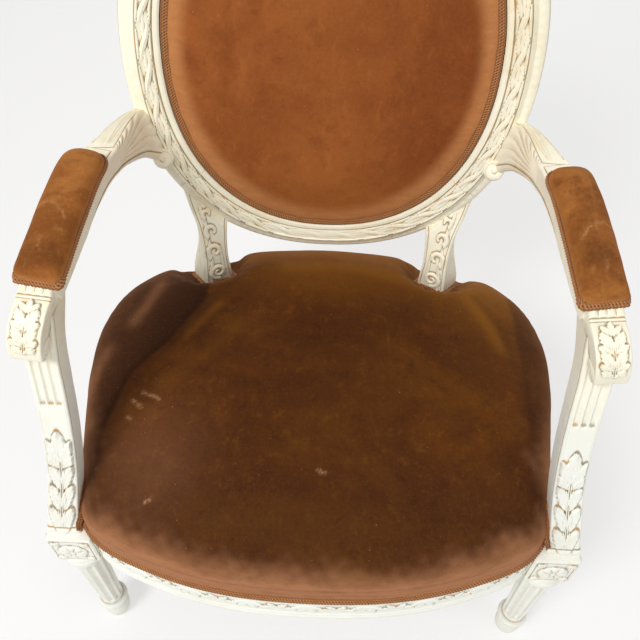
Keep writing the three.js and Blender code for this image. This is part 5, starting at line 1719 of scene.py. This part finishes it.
def makeBlock(name):
    # a copy of the corner block with its edges planed off
    body = bpy.data.objects.new(name + "Planed", nodes[name].data.copy())
    scene.collection.objects.link(body)
    body.matrix_world = nodes[name].matrix_world.copy()
    bpy.context.view_layer.update()
    soft = body.modifiers.new("soft", "BEVEL")
    soft.width, soft.segments = joinery["soften"], 3
    soft.limit_method, soft.angle_limit = "ANGLE", math.radians(30)
    subdivided(body, "SIMPLE", 3)
    points, normals = readPoints(body), readNormals(body)
    writePoints(body, points + normals * (ripples(points, 300, 7) * 0.00025)[:, None])
    return finished(body, "plain_wood", name)


for side in (1, -1):
    for kind in joinery["dowels"]:
        makeDowel(side, kind)
    for kind in joinery["braces"]:
        makeBlock(pairName(side, kind))
print("joinery made")


# seat rails

rail = {
    # outwards and up
    "section": [
        (-0.030, 0.2500), (-0.004, 0.2500), (-0.0012, 0.2506), (-0.0002, 0.2522), (0, 0.2545),
        (-0.0006, 0.2572), (-0.0018, 0.2588), (-0.0020, 0.2602), (-0.0010, 0.2614), (-0.0022, 0.2628),
        (-0.0030, 0.2650), (-0.0030, 0.2970), (-0.0022, 0.2992), (-0.0010, 0.3006), (-0.0020, 0.3018),
        (-0.0018, 0.3032), (-0.0006, 0.3048), (0, 0.3076), (-0.0004, 0.3102), (-0.0022, 0.3119),
        (-0.005, 0.3120), (-0.030, 0.3120),
    ],
    "step": 0.0018, "period": 0.036, "relief": 0.0026, "middle": 0.281,
    "leaf": [(0.0, -0.009, 70, 0.022, 0.010, -0.7), (0.001, -0.008, 32, 0.020, 0.009, -0.6)],
}


def makeRail(name, node, carved=True):
    # the moulded section carried along its stretch of the outline; the carved ones get a running leaf and a wave
    low, high = stretch(name)
    total = (high - low) * lengthAlong(evenly(seatRun, 800, True), True)[-1]
    count = int(total / rail["step"] * (1 if carved else 0.45))
    section = np.array(rail["section"])
    girth = lengthAlong(section, True)[-1]
    # fine steps over the outer face, coarse ones elsewhere
    steps = ((0, 0.026, 0.006), (0.026, 0.094, 0.0008), (0.094, girth, 0.006))
    offset, z = sectionAt(section, np.concatenate([np.arange(*step) for step in steps]))
    outer, inner = seatRing(count, 0.001, low, high), seatRing(count, -0.031, low, high)
    share = (offset - 0.001) / -0.032
    plan = outer[:, None] * (1 - share[..., None]) + inner[:, None] * share[..., None]
    base = np.concatenate([plan, (z + 0 * plan[..., 0])[..., None]], -1)
    along = lengthAlong(outer)[:, None]
    w = (z - rail["middle"]) / 0.0135
    face = (offset > -0.0032) * (z > 0.262) * (z < 0.3)
    if carved:
        turn = along / rail["period"]
        cell = (turn % 1 - 0.5) * rail["period"]
        flip = np.where(np.floor(turn) % 2 > 0, 1, -1)
        leaf = foliage(cell, (z - rail["middle"]) * flip, rail["leaf"])
        wave = bell(w, 0.62 * np.sin(turn * math.pi), 0.16) * 0.6
        height = np.maximum(leaf, wave) * smooth(1 - np.abs(w), 0.0, 0.2) * rail["relief"] * face
    else:
        height = 0 * along * w
    rough = grain(base, 180, 95, 0.00022)
    seams = (bell(z, 0.2602, 0.0011) + bell(z, 0.3018, 0.0011)) * (offset > -0.0035) + 0 * along
    marks = carvedMarks(height, 0.0016, times=3, floor=np.clip(0.7 * seams, 0, 1))
    title = name + ("Carved" if carved else "Plain")
    return finished(gridSurface(title, raised(base, height + rough), "paint", marks), "painted_wood", node)


makeRail("frontRail", "front_seat_rail")
makeRail("rightRail", "right_side_seat_rail")
makeRail("leftRail", "left_side_seat_rail")
makeRail("rearRail", "rear_seat_rail", False)
print("rails made")


# underside: straps laced over and under, with the sacking above them

strap = {
    "half": 0.026, "thick": 0.0017,
    "across": [-0.16, -0.07, 0.02, 0.11, 0.185], "back": [-0.21, -0.105, 0.0, 0.105, 0.21],
}


def makeStraps():
    bodies = []
    inner = seatRing(900, -0.010)
    low = chair["railTop"] + 0.0004
    for axis, places in ((0, strap["across"]), (1, strap["back"])):
        for order, place in enumerate(places):
            near = inner[np.abs(inner[:, 1 - axis] - place) < strap["half"]]
            start, end = near[near[:, axis] < 0][:, axis].max(), near[near[:, axis] > 0][:, axis].min()
            s = np.linspace(start, end, 84)[:, None]
            w = np.linspace(-1, 1, 9)[None, :]
            crossing = strap["back"] if axis == 0 else strap["across"]
            wave = sum(bell(s, q, 0.03) * (1 if (i + order + axis) % 2 else -1) for i, q in enumerate(crossing))
            z = low + 0.0016 + 0.0010 * wave + 0.0002 * np.cos(w * 9)
            top = np.stack([s + 0 * w, place + strap["half"] * w + 0 * s, z + strap["thick"] / 2], -1)
            base = np.stack([s + 0 * w, place + strap["half"] * w[:, ::-1] + 0 * s, z - strap["thick"] / 2], -1)
            points = np.concatenate([top, base], 1)
            if axis == 1:
                points = points[..., [1, 0, 2]]
            bodies.append(gridSurface("strap", points, "jute"))
    body = joined(*bodies)
    body.name = "seatStraps"
    return finished(body, "jute", "seat_webbing")


def makeSacking():
    # a thin sheet pulled over the straps
    rows = []
    shares = np.linspace(0.03, 1, 24)
    for share, z in [(s, 0.0052) for s in shares] + [(s, 0.0038) for s in shares[::-1]]:
        plan = seatRing(120, -0.011) * share
        rows.append(np.column_stack([plan, np.full(120, chair["railTop"] + z)]))
    points = np.array(rows)
    points[..., 2] += grain(points, 60, 99, 0.0004)
    body = gridSurface("seatSacking", points, "sacking")
    return finished(body, "jute", "seat_hessian")


makeStraps()
makeSacking()
print("underside made")


# floor and light

studio = {
    "floorSize": 14, "floorDrop": 0.0005, "floorTone": "F6F5F3", "floorGlow": 0.55, "ambient": 0.44,
    # name, place, aim, size and power
    "lamps": [
        ("keyLamp", (-1.1, -1.5, 2.6), (0, -0.05, 0.45), 0.9, 48),
        ("fillLamp", (1.7, -1.1, 1.7), (0, 0, 0.45), 1.6, 7),
        ("backLamp", (0.3, 2.0, 2.1), (0, 0.1, 0.5), 1.4, 13),
    ],
}


def makeStage():
    # a pale floor that the camera sees as near white, with the chair's shadow kept
    bpy.ops.mesh.primitive_plane_add(size=studio["floorSize"], location=(0, 0, -studio["floorDrop"]))
    floor = bpy.context.object
    floor.name = "floor"
    f = Finish("floorPale", Roughness=0.9)
    f.set(Base_Color=colour(studio["floorTone"]))
    path = f.node("ShaderNodeLightPath", output="Is Camera Ray")
    glow = f.node("ShaderNodeEmission", None, {"Color": colour("FFFFFF"), "Strength": 1.0})
    plain = Value(f.tree, f.shader.outputs[0])
    blend = f.node("ShaderNodeMixShader", None, {0: path * studio["floorGlow"], 1: plain, 2: glow})
    f.tree.links.new(blend.socket, f.tree.nodes["Material Output"].inputs["Surface"])
    floor.data.materials.append(f.material)


def makeWorld():
    world = bpy.data.worlds.new("studio")
    scene.world = world
    world.use_nodes = True
    tree = world.node_tree
    background = tree.nodes["Background"]
    path = tree.nodes.new("ShaderNodeLightPath")
    # full white where it is looked at, mirrored or seen through, and dimmer as the light that falls on the chair
    seen, glossy, through = (
        Value(tree, path.outputs["Is " + kind + " Ray"]) for kind in ("Camera", "Glossy", "Transmission")
    )
    background.inputs["Color"].default_value = (1, 1, 1, 1)
    strength = studio["ambient"] + (seen + glossy + through).clamped() * (1 - studio["ambient"])
    connect(tree, strength, background.inputs["Strength"])


def makeLamp(name, place, aim, size, power):
    data = bpy.data.lights.new(name, "AREA")
    data.shape = "DISK"
    data.size = size
    data.energy = power
    body = bpy.data.objects.new(name, data)
    start, end = np.array(place), np.array(aim)
    away = unit(start - end)
    right = unit(np.cross([0, 0, 1], away))
    up = np.cross(away, right)
    body.matrix_world = Matrix([[right[i], up[i], away[i], start[i]] for i in range(3)] + [[0, 0, 0, 1]])
    scene.collection.objects.link(body)


makeStage()
makeWorld()
for lamp in studio["lamps"]:
    makeLamp(*lamp)
print("light made")
